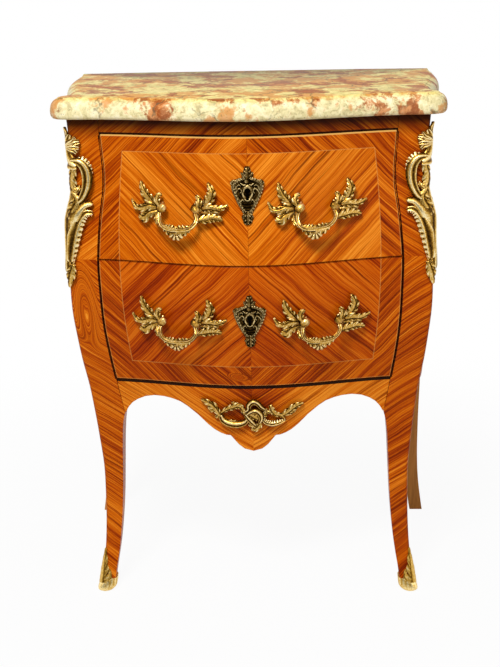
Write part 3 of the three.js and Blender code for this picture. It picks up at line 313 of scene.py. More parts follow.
# Lengths are in metres. A line or a shade has the places between which it fades in, or in and out, and a
# share that says how strongly it shows. The polish is the roughness, and what the pores add to it
veneerLook = {
    "tones": ("#421001", "#7C2401", "#AB4202", "#D06604", "#F3962A"),
    "tonePlaces": (0.10, 0.30, 0.46, 0.60, 0.88), "toneMiddle": 0.435,
    "stringAndHighlight": "#E9B25E", "paintedShade": "#0E0603", "specular": 0.045, "polish": (0.27, 0.08),
    "grainBump": (0.10, 0.0003),
    "wander": 0.014, "wanderScale": 9, "diagonal": 0.7071, "flatter": (0.57, 0.82), "roundArris": 0.8,
    "slow": 0.42, "drawerSlow": 0.6, "fine": (0.82, 0.90, 0.15),
    "mirrorHeight": 0.575, "fieldHalf": 0.199, "fieldPull": 0.376, "fieldReach": 0.1655, "join": 0.0002,
    "sideSeed": 0.35, "levelSeed": 0.7, "fieldSeed": 2.0,
    "fieldLight": 0.10, "lowerDrawerShade": 0.04, "frameLight": 0.02, "rightSideShade": 0.06,
    "apronOut": (0.0, 0.085), "apronUp": (0.275, 0.325), "apronFigureAndShade": 0.30,
    "heartLines": (0.36, 0.46), "heartBroad": (0.44, 0.58), "heartShare": 0.5,
    "shadowUnderMarble": (0.750, 0.785), "shadowUnderMarbleShare": 0.9, "lowerFieldShade": (0.88, 0.70, 0.5, 1.0),
    "stringLine": (0.0003, 0.0009), "stringShare": 0.30, "joint": (0.0001, 0.0006), "jointShare": 0.4,
    "pale": (0.0011, 0.0014, 0.0019, 0.0024), "paleEnd": (0.003, 0.004), "paleShare": 0.35,
    "edgeHighlight": (0.0008, 0.0012, 0.0032, 0.0038), "edgeHighlightShare": 0.85,
    "gapShadeWidth": {"drawer": 0.0009, "frame": 0.0013, "apron": 0.004}, "gapShadeSoft": 0.0004,
    "gapShadeShare": 0.98, "gapShadeFaint": (0.0014, 0.0024), "gapShadeFaintShare": 0.55,
}
# Eyes in the veneer, where the left stile is widest and low by the middle: distance to the left, height,
# breadth, rise. Then how they lean and fade, and how the lines spread round them
veneerEyes = {"frame": [(0.257, 0.500, 0.011, 0.038)], "drawer": [(0.021, 0.3915, 0.009, 0.004)]}
eyeForm = {"lean": 0.6, "fade": (0.2, 2.0), "share": 0.55, "spacing": 0.7}


# Slow bands, lines, thin lines and pores: squeeze along the grain, seed, scale, detail and roughness
streakNoises = [(0.03, 0.0, 30, 3, 0.5), (0.012, 4.0, 270, 3, 0.62), (0.010, 7.0, 700, 2, 0.65),
                (0.05, 9.0, 1900, 2, 0.6)]


# Streaks of wood: noises squeezed along the grain
def woodStreaks(bench, across, along, seed):
    return [bench.noise(bench.join(across, along * squeeze, seed + shift), scale, detail, rough)
            for squeeze, shift, scale, detail, rough in streakNoises]


# Veneer laid on the diagonal, mirrored about the middle and about the joint between the drawers. On a
# drawer a field inside a pale string runs the other way
def veneerMaterial(name, kind, shift=0.0):
    look = veneerLook
    bench = Surface(name, 0.0, look["specular"])
    place, (x, y, z) = bench.axes()
    # on the legs the lines run on round the arris
    width = {"side": y, "frame": abs(x) + y * look["roundArris"]}.get(kind, abs(x))
    height = z if kind == "side" else abs(z - look["mirrorHeight"])
    # slow wander of the grain, so that no line is ruler straight
    wander = (bench.noise(place, look["wanderScale"], 2, 0.5) - 0.5) * look["wander"]
    # the grain of stiles and legs lies flatter than that of the drawers
    outShare, upShare = (look["diagonal"],) * 2 if kind == "drawer" else look["flatter"]
    across = width * outShare + height * upShare + wander
    along = width * upShare - height * outShare
    seed = bench.step(x, -look["join"], look["join"]) * look["sideSeed"]
    if kind != "side":
        upper = bench.step(z, look["mirrorHeight"] - 0.0005, look["mirrorHeight"])
        seed = seed + upper * look["levelSeed"]
    # an eye's rings are slanted ellipses, towards which the grain gives way
    for eyeOut, eyeUp, eyeWide, eyeTall in veneerEyes.get(kind, ()):
        eyeX, eyeZ = (x + eyeOut) / eyeWide, (z - eyeUp) / eyeTall
        ring = bench.maths("SQRT", eyeX * eyeX + eyeZ * eyeZ + eyeX * eyeZ * eyeForm["lean"])
        inside = (1.0 - bench.step(ring, *eyeForm["fade"])) * eyeForm["share"]
        across = across + inside * (ring * eyeWide * eyeForm["spacing"] + eyeOut - across)
    if kind == "drawer":
        fieldHalf = look["fieldHalf"] - height * height * look["fieldPull"]
        fieldEdge = bench.maths("MINIMUM", fieldHalf - width, look["fieldReach"] - height)
        field = bench.step(fieldEdge, -look["join"], look["join"])
        across = across + field * ((width - height) * look["diagonal"] + wander - across)
        along = along + field * ((width + height) * look["diagonal"] - along)
        seed = seed + field * look["fieldSeed"]
    broad, lines, thin, pores = streaks = woodStreaks(bench, across, along, seed)
    slow = look["drawerSlow"] if kind == "drawer" else look["slow"]
    value = shift - look["toneMiddle"] - slow / 2
    for streak, share in zip(streaks, (slow, *look["fine"])):
        value = value + streak * share
    if kind == "drawer":
        # painted shade: the lower drawer is a little darker, as it faces down
        value = value + field * look["fieldLight"] + (upper - 1.0) * look["lowerDrawerShade"]
    if kind == "frame":
        # painted shade: the right-hand side of the frame is darker, as the light falls from the left
        value = value - bench.step(x, 0.0, 0.2) * look["rightSideShade"] + look["frameLight"]
    if kind == "apron":
        # darker towards the apron's middle, but for its tip: partly figure, partly painted shade of the
        # mount
        middle = (1.0 - bench.step(width, *look["apronOut"])) * bench.step(z, *look["apronUp"])
        value = value - middle * look["apronFigureAndShade"]
    colour = bench.ramp(value, look["tonePlaces"], look["tones"])
    deep = look["tones"][0]
    # dark lines where the heartwood shows
    heart = (1.0 - bench.step(lines, *look["heartLines"])) * bench.step(broad, *look["heartBroad"])
    colour = bench.mix(heart * look["heartShare"], colour, deep)
    if kind == "frame":
        # painted shadow of the marble's overhang: the frame goes dark close under the marble
        colour = bench.mix(bench.step(z, *look["shadowUnderMarble"]) * look["shadowUnderMarbleShare"], colour, look["paintedShade"])
    if kind == "drawer":
        # painted shade: the lower drawer's field is darker and redder, as it faces down
        colour = bench.mix(field * (1.0 - upper), colour, look["lowerFieldShade"], "MULTIPLY")
        stringLine = 1.0 - bench.step(abs(fieldEdge), *look["stringLine"])
        colour = bench.mix(stringLine * look["stringShare"], colour, look["stringAndHighlight"])
        joint = 1.0 - bench.step(abs(x), *look["joint"])
        colour = bench.mix(joint * look["jointShare"], colour, deep)
        # a pale line inside the dark rim, and a painted highlight under the upper drawer's top edge
        pale = bench.band(bench.attribute("edge"), *look["pale"]) * bench.step(height, *look["paleEnd"])
        colour = bench.mix(pale * look["paleShare"], colour, look["stringAndHighlight"])
        edgeHighlight = bench.band(bench.attribute("top"), *look["edgeHighlight"])
        colour = bench.mix(edgeHighlight * look["edgeHighlightShare"], colour, look["stringAndHighlight"])
    # a dark rim along the edges beside the gaps round the drawers: painted shade of the gaps, wider than
    # the real gap
    if kind != "side":
        gapShadeWidth = look["gapShadeWidth"][kind]
        rim = 1.0 - bench.step(bench.attribute("edge"), gapShadeWidth, gapShadeWidth + look["gapShadeSoft"])
        if kind == "drawer":
            # fainter between the drawers
            faint = look["gapShadeFaintShare"]
            rim = rim * (bench.step(height, *look["gapShadeFaint"]) * (1.0 - faint) + faint)
        colour = bench.mix(rim * look["gapShadeShare"], colour, look["paintedShade"])
    dull, poreDull = look["polish"]
    return bench.finish(colour, dull + pores * poreDull, (lines + thin) * 0.5, *look["grainBump"])


plainLook = {
    "specular": 0.3, "wander": 0.03, "squeeze": 0.05, "slant": (0.6, 0.3), "slowScale": 45,
    "fineScale": 420, "slow": 0.7, "fine": 0.4, "toneMiddle": 0.05, "tonePlaces": (0.25, 0.5, 0.8),
    "bump": (0.15, 0.0005),
}


# Plain wood: slow bands and fine lines along the grain. The direction names the axes across and along it
def plainWoodMaterial(name, tones, roughness, direction):
    look = plainLook
    bench = Surface(name, 0.0, look["specular"])
    place, (x, y, z) = bench.axes()
    across, along = (x, y, z)[direction[0]], (x, y, z)[direction[1]]
    other = (x, y, z)[3 - direction[0] - direction[1]]
    wander = (bench.noise(place, 6, 2, 0.5) - 0.5) * look["wander"]
    slantOut, slantUp = other * look["slant"][0], other * look["slant"][1]
    point = bench.join(across + wander + slantOut, along * look["squeeze"], slantUp)
    broad = bench.noise(point, look["slowScale"], 3, 0.55)
    fine = bench.noise(point, look["fineScale"], 3, 0.6)
    value = broad * look["slow"] + fine * look["fine"] - look["toneMiddle"]
    colour = bench.ramp(value, look["tonePlaces"], tones)
    return bench.finish(colour, roughness + fine * 0.12 - 0.06, fine, *look["bump"])


marbleLook = {
    "ground": ("#C6B684", "#E9DBA4", "#F9EDC0", "#FFF7D8"), "rust": ("#9A4216", "#D98A4C"),
    "upperRust": "#8E3C10", "ochre": "#D98A3E", "vein": "#5E5A44", "speck": "#7B6A46",
    "upperFaceShade": (1.0, 0.94, 0.60, 1.0), "groundPlaces": (0.34, 0.46, 0.58, 0.72),
    "scale": {"shake": 16, "patch": 13, "ochre": 24, "mottle": 70, "speck": 260, "vein": 13},
    "edge": {"ochre": (0.52, 0.60), "rust": (0.40, 0.60), "patch": (0.530, 0.575), "vein": (0.46, 0.58),
             "speck": (0.60, 0.72), "upperFace": (0.812, 0.8195)},
    "share": {"ochre": 0.75, "upperRust": 0.45, "patch": 0.88, "vein": 0.75, "speck": 0.5},
    "torn": 0.06, "veinWidth": 0.030, "specular": 0.045, "polish": (0.36, 0.1), "bump": (0.04, 0.0005),
}


# Breccia: mottled cream ground, broken patches of rust and ochre with torn edges, grey and brown veins.
# The upper face takes a darker, yellower tint of painted shade, and a little more rust than the moulded
# edge
def marbleMaterial():
    look = marbleLook
    scale, edge, share = look["scale"], look["edge"], look["share"]
    bench = Surface("brecciaMarble", 0.0, look["specular"])
    place, (x, y, z) = bench.axes()
    shake = bench.noise(place, scale["shake"], 4, 0.65, out=1)
    shaken = bench.node("VectorMath", {"operation": "MULTIPLY_ADD"},
                        {0: shake, 1: (look["torn"],) * 3, 2: place})
    upperFace = bench.step(z, *edge["upperFace"])
    patch = bench.noise(shaken, scale["patch"], 6, 0.66) + upperFace * 0.015
    ochre = bench.noise(bench.join(x + 3.1, y, z + 1.7), scale["ochre"], 6, 0.66)
    mottle = bench.noise(shaken, scale["mottle"], 5, 0.66)
    speck = bench.noise(place, scale["speck"], 3, 0.6)
    cells = bench.node("TexVoronoi", {"feature": "DISTANCE_TO_EDGE"},
                       {"Vector": shaken, "Scale": scale["vein"]})
    colour = bench.ramp(mottle, look["groundPlaces"], look["ground"])
    stained = bench.step(ochre + upperFace * 0.05, *edge["ochre"])
    colour = bench.mix(stained * share["ochre"], colour, look["ochre"])
    rust = bench.mix(bench.step(mottle, *edge["rust"]), *look["rust"])
    rust = bench.mix(upperFace * share["upperRust"], rust, look["upperRust"])
    colour = bench.mix(bench.step(patch, *edge["patch"]) * share["patch"], colour, rust)
    vein = (1.0 - bench.step(cells, 0.0, look["veinWidth"])) * bench.step(ochre, *edge["vein"])
    colour = bench.mix(vein * share["vein"], colour, look["vein"])
    colour = bench.mix(bench.step(speck, *edge["speck"]) * share["speck"], colour, look["speck"])
    # painted shade: the upper face is tinted a little darker and yellower
    colour = bench.mix(upperFace, colour, look["upperFaceShade"], "MULTIPLY")
    dull, mottleDull = look["polish"]
    return bench.finish(colour, dull + mottle * mottleDull, mottle, *look["bump"])


bronzeLook = {
    "tonePlaces": (0.10, 0.34, 0.60, 0.84), "cloudScale": 110, "chasedScale": 480, "cloud": 0.25,
    "chased": 0.7, "bump": (0.25, 0.0005),
}


# Cast bronze: bright on ridges as painted highlight, dark in hollows as painted shade, read from the
# casting's own shade attribute. Hollows and clouds are duller
def bronzeMaterial(name, tones, roughness):
    look = bronzeLook
    bench = Surface(name, 1.0, 0.5)
    place = bench.axes()[0]
    shade = bench.attribute("shade")
    cloud = bench.noise(place, look["cloudScale"], 4, 0.6)
    chased = bench.noise(place, look["chasedScale"], 3, 0.6)
    value = shade + (cloud - 0.5) * look["cloud"] + (chased - 0.5) * look["chased"]
    colour = bench.ramp(value, look["tonePlaces"], tones)
    return bench.finish(colour, roughness + 0.24 - shade * 0.2 + cloud * 0.08, chased, *look["bump"])


# Dull steel: two greys, mixed by a cloudy noise that also dulls it
def steelMaterial():
    bench = Surface("dullSteel", 1.0, 0.5)
    cloud = bench.noise(bench.axes()[0], 120, 4, 0.6)
    colour = bench.mix(cloud, "#6E6A64", "#9A958D")
    return bench.finish(colour, 0.35 + cloud * 0.25, cloud, 0.08, 0.0004)


finishes = {
    "drawer": veneerMaterial("drawerVeneer", "drawer"),
    "leg": veneerMaterial("legVeneer", "frame", 0.02),
    "apron": veneerMaterial("apronVeneer", "apron", 0.17),
    "side": veneerMaterial("sideVeneer", "side", 0.02),
    "legWood": plainWoodMaterial("stainedBeech", ("#88541C", "#BC792E", "#D8984C"), 0.5, (0, 2)),
    "carcass": plainWoodMaterial("bareOak", ("#8A6438", "#B58C58", "#CFA975"), 0.62, (1, 0)),
    "marble": marbleMaterial(),
    "gilt": bronzeMaterial("giltBronze", ("#1C0F03", "#6A4612", "#CB9C42", "#FFE8AC"), 0.24),
    "mount": bronzeMaterial("mountBronze", ("#2A1805", "#80591B", "#DAAE52", "#FFEDB8"), 0.24),
    "darkBronze": bronzeMaterial("darkBronze", ("#080402", "#281A07", "#6C5020", "#E8CE92"), 0.30),
    "shoe": bronzeMaterial("shoeBronze", ("#5E3F12", "#A67C2A", "#D9AE54", "#FFE6A4"), 0.26),
    "steel": steelMaterial(),
}
print("materials made")


# The round of a panel's rims, and where its rows lie close together beside them
panelForm = {"round": 0.0012,
             "fine": [0, 0.0003, 0.0006, 0.0009, 0.0012, 0.0016, 0.0022, 0.0028, 0.004, 0.007]}


# A panel across the front. Its rings run along x: up the front face by the case's surface, and back down
# the inner face. The rims named in lined and soft fall away by a quarter circle
def frontPanel(halfAt, lowAt, highAt, innerAt, lined, soft=(), columns=150, rows=44):
    fine = np.array(panelForm["fine"])
    lowMid, highMid = lowAt(np.zeros(1))[0], highAt(np.zeros(1))[0]
    tall = highMid - lowMid
    wide = halfAt(np.array([(lowMid + highMid) / 2]))[0] * 2
    upward = np.unique(np.concatenate([fine / tall, np.linspace(0.04, 0.96, rows), 1 - fine / tall]))
    sideways = np.unique(np.concatenate([fine / wide, np.linspace(0.02, 0.98, columns), 1 - fine / wide]))
    s, v = np.meshgrid(sideways * 2 - 1, upward, indexing="ij")
    z = lowMid + v * tall
    # x and z are settled together, because each rim may follow the other
    for settle in range(3):
        x = s * halfAt(z)
        z = lowAt(x) + v * (highAt(x) - lowAt(x))
    away = {"side": (1 - np.abs(s)) * halfAt(z), "low": z - lowAt(x), "high": highAt(x) - z}
    edge = np.minimum.reduce([away[rim] for rim in lined])
    rounded = np.minimum.reduce([away[rim] for rim in lined + soft]) / panelForm["round"]
    drop = panelForm["round"] * (1 - np.sqrt(1 - (1 - np.clip(rounded, 0, 1)) ** 2))
    front = pointsAt(x, frontY(x, z) + drop, z)
    pick = np.linspace(len(upward) - 1, 0, 6).astype(int)
    back = pointsAt(x[:, pick], innerAt(x[:, pick]), z[:, pick])
    plain = np.full(back.shape[:2], 1.0)
    values = {"edge": np.concatenate([edge, plain], 1), "top": np.concatenate([away["high"], plain], 1)}
    return np.concatenate([front, back], 1), values


drawerForm = {
    "reveal": 0.0011, "low": 0.375, "division": 0.575, "high": 0.767,
    "upperInner": (0.032, 0.048), "lowerInner": (0.038, 0.040),
}


# Inner face of a drawer front: a flatter serpentine, at a depth behind the belly
def innerFace(edgeDepth, bow):
    return lambda x: bellyFront + edgeDepth - bow * serpentine(x / caseForm["halfWidth"])


# A straight rim, at one place
def straight(place):
    return lambda along: np.full(np.shape(along), place)


for level, low, high in (("upper", "division", "high"), ("lower", "low", "division")):
    half = drawerForm["reveal"] / 2
    points, values = frontPanel(
        lambda z: openingX(z) - drawerForm["reveal"], straight(drawerForm[low] + half),
        straight(drawerForm[high] - half), innerFace(*drawerForm[f"{level}Inner"]),
        ("side", "low", "high"))
    # only the upper drawer has the painted highlight under its top edge
    if level == "lower":
        values["top"] = 1.0
    makePiece(f"{level}DrawerFront", [(points, values)], finishes["drawer"], f"{level}_drawer",
              [f"{level}_drawer_front"])
print("drawer fronts made")

apronForm = {
    "tip": 0.261, "rear": 0.027, "rearBow": 0.045, "half": 0.21726, "rootX": 0.20756, "rootZ": 0.313,
    "gap": 0.0012,
}
# Distance out from the tip and height of the lower edge over the tip, as shares
apronEdge = np.array([
    [0, 0], [0.068, 0.035], [0.114, 0.105], [0.1465, 0.18], [0.1725, 0.24], [0.204, 0.243],
    [0.246, 0.27], [0.293, 0.318], [0.3455, 0.397], [0.4185, 0.533], [0.497, 0.65], [0.5545, 0.716],
    [0.6175, 0.753], [0.68, 0.773], [0.7535, 0.777], [0.827, 0.75], [0.89, 0.696], [0.935, 0.636],
    [0.968, 0.563], [1, 0.456],
])


# Lower edge of the apron: the table's height over the tip, then a straight rise beside the leg
def apronLow(x):
    out = np.abs(x) / apronForm["rootX"]
    drop = drawerForm["low"] - apronForm["tip"]
    curve = apronForm["tip"] + drop * np.interp(out, apronEdge[:, 0], apronEdge[:, 1])
    beside = (out - 1) / (apronForm["half"] / apronForm["rootX"] - 1)
    rise = apronForm["rootZ"] + beside * (drawerForm["low"] - apronForm["gap"] - apronForm["rootZ"])
    return np.where(out > 1, rise, curve)


apronArris = caseAt(drawerForm["low"])[1]
apronTube = frontPanel(
    straight(apronForm["half"]), apronLow, straight(drawerForm["low"]),
    innerFace(apronArris - bellyFront + apronForm["rear"], apronForm["rearBow"]),
    ("high",), ("low",), columns=260, rows=30)
makePiece("frontApron", [apronTube], finishes["apron"], "root", ["front_apron"])

# A recess behind the middle of the rail takes the lock's bolt
railForm = {"gap": 0.0003, "depth": 0.072, "recessHalf": 0.0095, "recessDepth": -0.0175}
railTube = frontPanel(
    straight(openingX(np.array([drawerForm["high"]]))[0] - railForm["gap"]), straight(drawerForm["high"]),
    straight(caseForm["top"]),
    lambda x: bellyFront + np.where(np.abs(x) < railForm["recessHalf"], railForm["recessDepth"],
                                    railForm["depth"]), ("low",), rows=12)
makePiece("frontTopRail", [railTube], finishes["leg"], "root", ["front_top_rail"])
print("apron and rail made")

legForm = {
    "stileDepth": 0.072, "topWidth": 0.046, "topDepth": 0.044, "top": 0.313, "sole": 0.0125,
    "apronRoot": 0.327, "backStile": 0.050, "backWidth": 0.044, "inside": 0.240, "broken": 0.0006,
    "beside": [0, 0.0005, 0.001, 0.0016, 0.0022, 0.0028, 0.004],
}
# Height in the leg, and its width as a share of that at its top; then the flare of its inner edge
legTaper = np.array([
    [0, 0.5], [0.115, 0.5], [0.23, 0.545], [0.377, 0.61], [0.524, 0.67], [0.68, 0.72], [0.83, 0.83],
    [1, 1],
])
legFlare = np.array([[0, 0], [0.87, 0], [0.92, 0.01], [0.96, 0.035], [1, 0.09]])


# Width of a leg at a height, as a share of that at its top
def taperAt(z):
    return smoothRead(legTaper, z / legForm["top"])


# Inner edge of a front leg: the arris less the tapering width and its flare, then straight to the
# opening's corner, then along the opening
def stileInner(z):
    under = np.minimum(z, legForm["top"])
    width = taperAt(under) + smoothRead(legFlare, under / legForm["top"])
    leg = caseAt(under)[0] - legForm["topWidth"] * width
    corner = openingX(np.array([drawerForm["low"]]))[0]
    part = np.clip((z - legForm["top"]) / (drawerForm["low"] - legForm["top"]), 0, 1)
    return np.where(z < drawerForm["low"], leg + part * (corner - leg), openingX(z))


# Rear of a front leg: the arris and the tapering depth, then a short slope to the stile's depth
def frontLegRear(z):
    leg = caseAt(z)[1] + legForm["topDepth"] * taperAt(z)
    top = caseAt(np.array([legForm["top"]]))[1][0] + legForm["topDepth"]
    rear = bellyFront + legForm["stileDepth"]
    part = np.clip((z - legForm["top"]) / (legForm["apronRoot"] - legForm["top"]), 0, 1)
    return np.where(z <= legForm["top"], leg, top + part * (rear - top))


# Front leg with its stile. Each ring goes from the inner front corner along the front face, round the
# arris by a quarter turn, back along the side face, and home along the rear and the inner face. Its
# points lie close together beside the inner corner, which is broken a little
def frontLeg(hand):
    z = np.unique(np.concatenate([np.linspace(legForm["sole"], caseForm["top"], 190),
                                  [legForm["top"], legForm["apronRoot"], drawerForm["low"]]]))[:, None]
    arrisX, arrisY, bow, backX = caseAt(z)
    radius = caseForm["arris"]
    inner, rear = stileInner(z), frontLegRear(z)
    beside = np.array(legForm["beside"])[None]
    span = arrisX - radius - inner - beside[:, -1:]
    share = np.linspace(0, 1, 14)[None, 1:]
    frontX = np.concatenate([inner + beside, inner + beside[:, -1:] + span * share], 1)
    front = pointsAt(frontX, frontY(frontX, z), z)
    front[:, 0, 1] += legForm["broken"]
    turn = np.linspace(-math.pi / 2, 0, 7)[None, 1:]
    startY = frontY(arrisX - radius, z)
    corner = pointsAt(arrisX - radius + radius * np.cos(turn), startY + radius + radius * np.sin(turn), z)
    part = np.linspace(0, 1, 11)[None, 1:]
    sideY = startY + radius + (rear - startY - radius) * part
    side = pointsAt(sideX(sideY, z), sideY, z)
    back = np.linspace(0, 1, 5)[None, 1:]
    rearSide = pointsAt(side[:, -1:, 0] + (inner - side[:, -1:, 0]) * back, rear, z)
    home = np.linspace(0, 1, 6)[None, 1:-1]
    innerSide = pointsAt(inner, rear + (frontY(inner, z) + legForm["broken"] * 2 - rear) * home, z)
    points = np.concatenate([front, corner, side, rearSide, innerSide], 1)
    # the dark line of painted gap shade runs only beside the drawers
    lined = (z >= drawerForm["low"]) & (z <= drawerForm["high"])
    edge = np.full(points.shape[:2], 1.0)
    edge[:, :frontX.shape[1]] = np.where(lined, frontX - inner, 1.0)
    points[..., 0] *= hand
    return points, {"edge": edge}


for hand, word in hands:
    makePiece(f"{word}FrontLeg", [frontLeg(hand)], finishes["leg"], "root",
              [f"front_{word}_leg"])


# Back leg with its stile: rings of four sides, the outer one on the case's side face. Width and depth
# follow the taper, and the width eases into that of the stile
def backLeg(hand):
    z = np.unique(np.concatenate([np.linspace(0, caseForm["top"], 120),
                                  [legForm["top"], legForm["apronRoot"]]]))[:, None]
    part = ease(z, legForm["top"], legForm["apronRoot"])
    inner = (caseAt(z)[3] - legForm["backWidth"] * taperAt(z)) * (1 - part) + legForm["inside"] * part
    front = backPlane - legForm["backStile"] * taperAt(z)
    t = np.linspace(0, 1, 9)[None]
    outerY = front + (backPlane - front) * t
    outer = pointsAt(sideX(outerY, z), outerY, z)
    behind = pointsAt(outer[:, -1:, 0] + (inner - outer[:, -1:, 0]) * t[:, 1:], backPlane, z)
    inside = pointsAt(inner, backPlane + (front - backPlane) * t[:, 1:], z)
    face = pointsAt(inner + (outer[:, :1, 0] - inner) * t[:, 1:-1], front, z)
    points = np.concatenate([outer, behind, inside, face], 1)
    points[..., 0] *= hand
    return points, {}


for hand, word in hands:
    makePiece(f"{word}BackLeg", [backLeg(hand)], finishes["legWood"], "root",
              [f"back_{word}_leg"])

sideForm = {"gap": 0.0003, "low": 0.345, "drop": 0.030}
# Distance along the side panel, and how far its lower edge drops there
sideEdge = np.array([
    [0, 0.6], [0.05, 0.3], [0.13, 0.05], [0.22, 0], [0.31, 0.12], [0.39, 0.55], [0.45, 0.9], [0.5, 1],
    [0.55, 0.9], [0.61, 0.55], [0.69, 0.12], [0.78, 0], [0.87, 0.05], [0.95, 0.3], [1, 0.6],
])


# Side panel: rings run from front to back, each up the outer face by the case's side and down inside
def sidePanel(hand):
    start = bellyFront + legForm["stileDepth"] + sideForm["gap"]
    end = backPlane - legForm["backStile"] - sideForm["gap"]
    share = np.linspace(0, 1, 90)[:, None]
    y = start + share * (end - start)
    low = sideForm["low"] - sideForm["drop"] * smoothRead(sideEdge, share)
    z = low + np.linspace(0, 1, 80)[None] * (caseForm["top"] - low)
    outer = pointsAt(sideX(y, z), y, z)
    inner = pointsAt(legForm["inside"], y, z[:, [79, 60, 40, 20, 0]])
    points = np.concatenate([outer, inner], 1)
    points[..., 0] *= hand
    return points, {}


for hand, word in hands:
    makePiece(f"{word}SidePanel", [sidePanel(hand)], finishes["side"], "root",
              [f"{word}_side_panel"])
print("legs and sides made")

marbleForm = {"base": 0.788, "thick": 0.032, "half": 0.309, "depth": 0.400, "bow": 0.047, "back": 0.005,
              "inset": 0.014}
# Half-width and distance from the back, as shares, and how much of the profile's inset is taken there
marblePlan = np.array([
    [0.845, 0.884, 1], [0.877, 0.883, 1], [0.913, 0.876, 1.05], [0.942, 0.86, 1.1], [0.959, 0.836, 1.1],
    [0.962, 0.81, 1.1], [0.952, 0.786, 1.1], [0.933, 0.765, 1.1], [0.918, 0.738, 1.15],
    [0.912, 0.7, 1.2], [0.917, 0.645, 1.25], [0.935, 0.57, 1.3], [0.965, 0.44, 1.3], [0.988, 0.32, 1.3],
    [0.998, 0.22, 1.3], [1, 0.12, 1.3], [0.998, 0.05, 1.2], [0.985, 0.012, 0.8], [0.962, 0, 0.4],
])
# Inset and height of the edge's profile, as shares
marbleProfile = np.array([
    [0.5, 0], [0.25, 0.03], [0.06, 0.14], [0, 0.32], [0.02, 0.48], [0.10, 0.63], [0.22, 0.74],
    [0.40, 0.84], [0.60, 0.90], [0.74, 0.925], [0.76, 0.95], [0.82, 0.975], [1, 1],
])


# Plan of the top: the serpentine front, then the ear and side through the table's points, smoothed by
# length along them. The edge's profile is drawn in square to the plan
def marbleTop():
    rear = backPlane + marbleForm["back"]
    earX, earY = marblePlan[0, 0] * marbleForm["half"], rear - marblePlan[0, 1] * marbleForm["depth"]
    share = np.arange(0, 10) / 10
    plan = np.concatenate([
        np.stack([share * earX, earY - marbleForm["bow"] * serpentine(share), np.ones(10)], -1),
        np.stack([marblePlan[:, 0] * marbleForm["half"], rear - marblePlan[:, 1] * marbleForm["depth"],
                  marblePlan[:, 2]], -1)])
    length = np.concatenate([[0], np.cumsum(np.hypot(*np.diff(plan[:, :2], axis=0).T))])
    table = np.concatenate([length[:, None], plan], 1)
    at = np.linspace(0, length[-1], 190)
    x, y, wide = (smoothRead(table, at, c) for c in (1, 2, 3))
    x[0] = 0
    # one more point on the back edge, and then the mirror image
    x, y, wide = np.append(x, x[-1] * 0.6), np.append(y, y[-1]), np.append(wide, 0.0)
    x = np.concatenate([x, -x[:0:-1]])
    y = np.concatenate([y, y[:0:-1]])
    wide = np.concatenate([wide, wide[:0:-1]])
    alongX, alongY = np.roll(x, -1) - np.roll(x, 1), np.roll(y, -1) - np.roll(y, 1)
    size = np.hypot(alongX, alongY)
    inX, inY = -alongY / size, alongX / size
    profile = runThrough(marbleProfile, 60)
    inset = profile[:, :1] * marbleForm["inset"]
    height = profile[:, 1:] * marbleForm["thick"] + marbleForm["base"]
    px = np.clip(x + inX * inset * wide, -marbleForm["half"], marbleForm["half"])
    py = np.minimum(y + inY * inset * wide, rear)
    return pointsAt(px, py, height), {}


makePiece("marbleTop", [marbleTop()], finishes["marble"], "root", ["marble_top"], 60)
print("marble made")


# Straight reading of a list of values at evenly spread places, as a column
def spread(values, count):
    return np.interp(np.linspace(0, len(values) - 1, count), np.arange(len(values)), values)[:, None]


# Bell curve: e to the power of minus the square of the distance from its centre, in widths
def bell(value, centre, width):
    return np.exp(-((value - centre) / width) ** 2)


# Fronds of the castings. A row holds the place across and up, the height over the wood and the breadth.
# Rows and relief are in thousandths of the mount's size, and the relief runs evenly along the frond
def leaf(rows, relief=(30, 30), teeth=0):
    return {"form": "leaf", "rows": rows, "relief": relief, "teeth": teeth}


def ribbon(rows, relief=(30, 30), flutes=3, teeth=0):
    return {"form": "ribbon", "rows": rows, "relief": relief, "flutes": flutes, "teeth": teeth}


def stem(rows, relief=(30, 30), flutes=3):
    return {"form": "stem", "rows": rows, "relief": relief, "flutes": flutes}


# Across a leaf: a plump ridge, which is a bell curve, with a vein beside it, and lobes and fingers toward
# its edges. A lobe is the sine of its phase along the leaf, and the edge is notched where that is 0.
# Gives the height, the notch of the edge and the painted shade
def leafSection(u, v, crown, teeth):
    lobes = max(teeth, 2) * 0.8
    lobe = np.abs(np.sin(math.pi * (lobes * u - 0.5 * np.abs(v))))
    margin = ease(np.abs(v), 0.35, 0.85)
    groove = (1 - lobe) ** 2 * margin
    notch = 0.38 * (1 - lobe) ** 2 * ease(np.abs(v), 0.3, 1.0)
    ridge, vein = bell(v, 0.08, 0.55), bell(v, -0.30, 0.11)
    finger = 0.5 + 0.5 * np.cos(2 * math.pi * (lobes * 2 * u - 1.3 * np.abs(v)))
    finger = finger * ease(np.abs(v), 0.15, 0.5)
    body = crown**0.5 * (0.60 + 0.28 * ridge + 0.16 * lobe * margin + 0.08 * finger)
    shade = 0.08 + 0.54 * ridge + 0.40 * lobe * margin + 0.30 * finger - 0.38 * vein - 0.42 * groove
    return body - 0.16 * vein - 0.14 * groove, notch, shade


# Across a ribbon: lengthwise ridges, a cosine, and where it has teeth, a sine along its outer edge
def ribbonSection(u, v, crown, teeth, flutes):
    ridge = 0.5 + 0.5 * np.cos(0.85 * flutes * math.pi * (v - 0.25))
    tooth = np.abs(np.sin(math.pi * teeth * u))
    outer = ease(v, 0.0, 0.8) if teeth else 0
    body = crown**0.8 * (0.66 + 0.34 * ridge)
    # painted highlight on the ridges and the teeth, painted shade between them
    shade = (0.14 + 0.68 * ridge * crown**0.3) * (1 - outer) + 0.95 * tooth * outer
    return body, 0.36 * (1 - tooth) * outer, shade


# Share of a frond's length in which its end rounds, depth of a stem's ribs, depth of the underside, and
# the heights over the wood between which the painted shade of the hollow clears
frondForm = {"end": 0.06, "rib": 0.15, "under": 0.7, "hollow": (0.0006, 0.004), "hollowShade": 0.35}


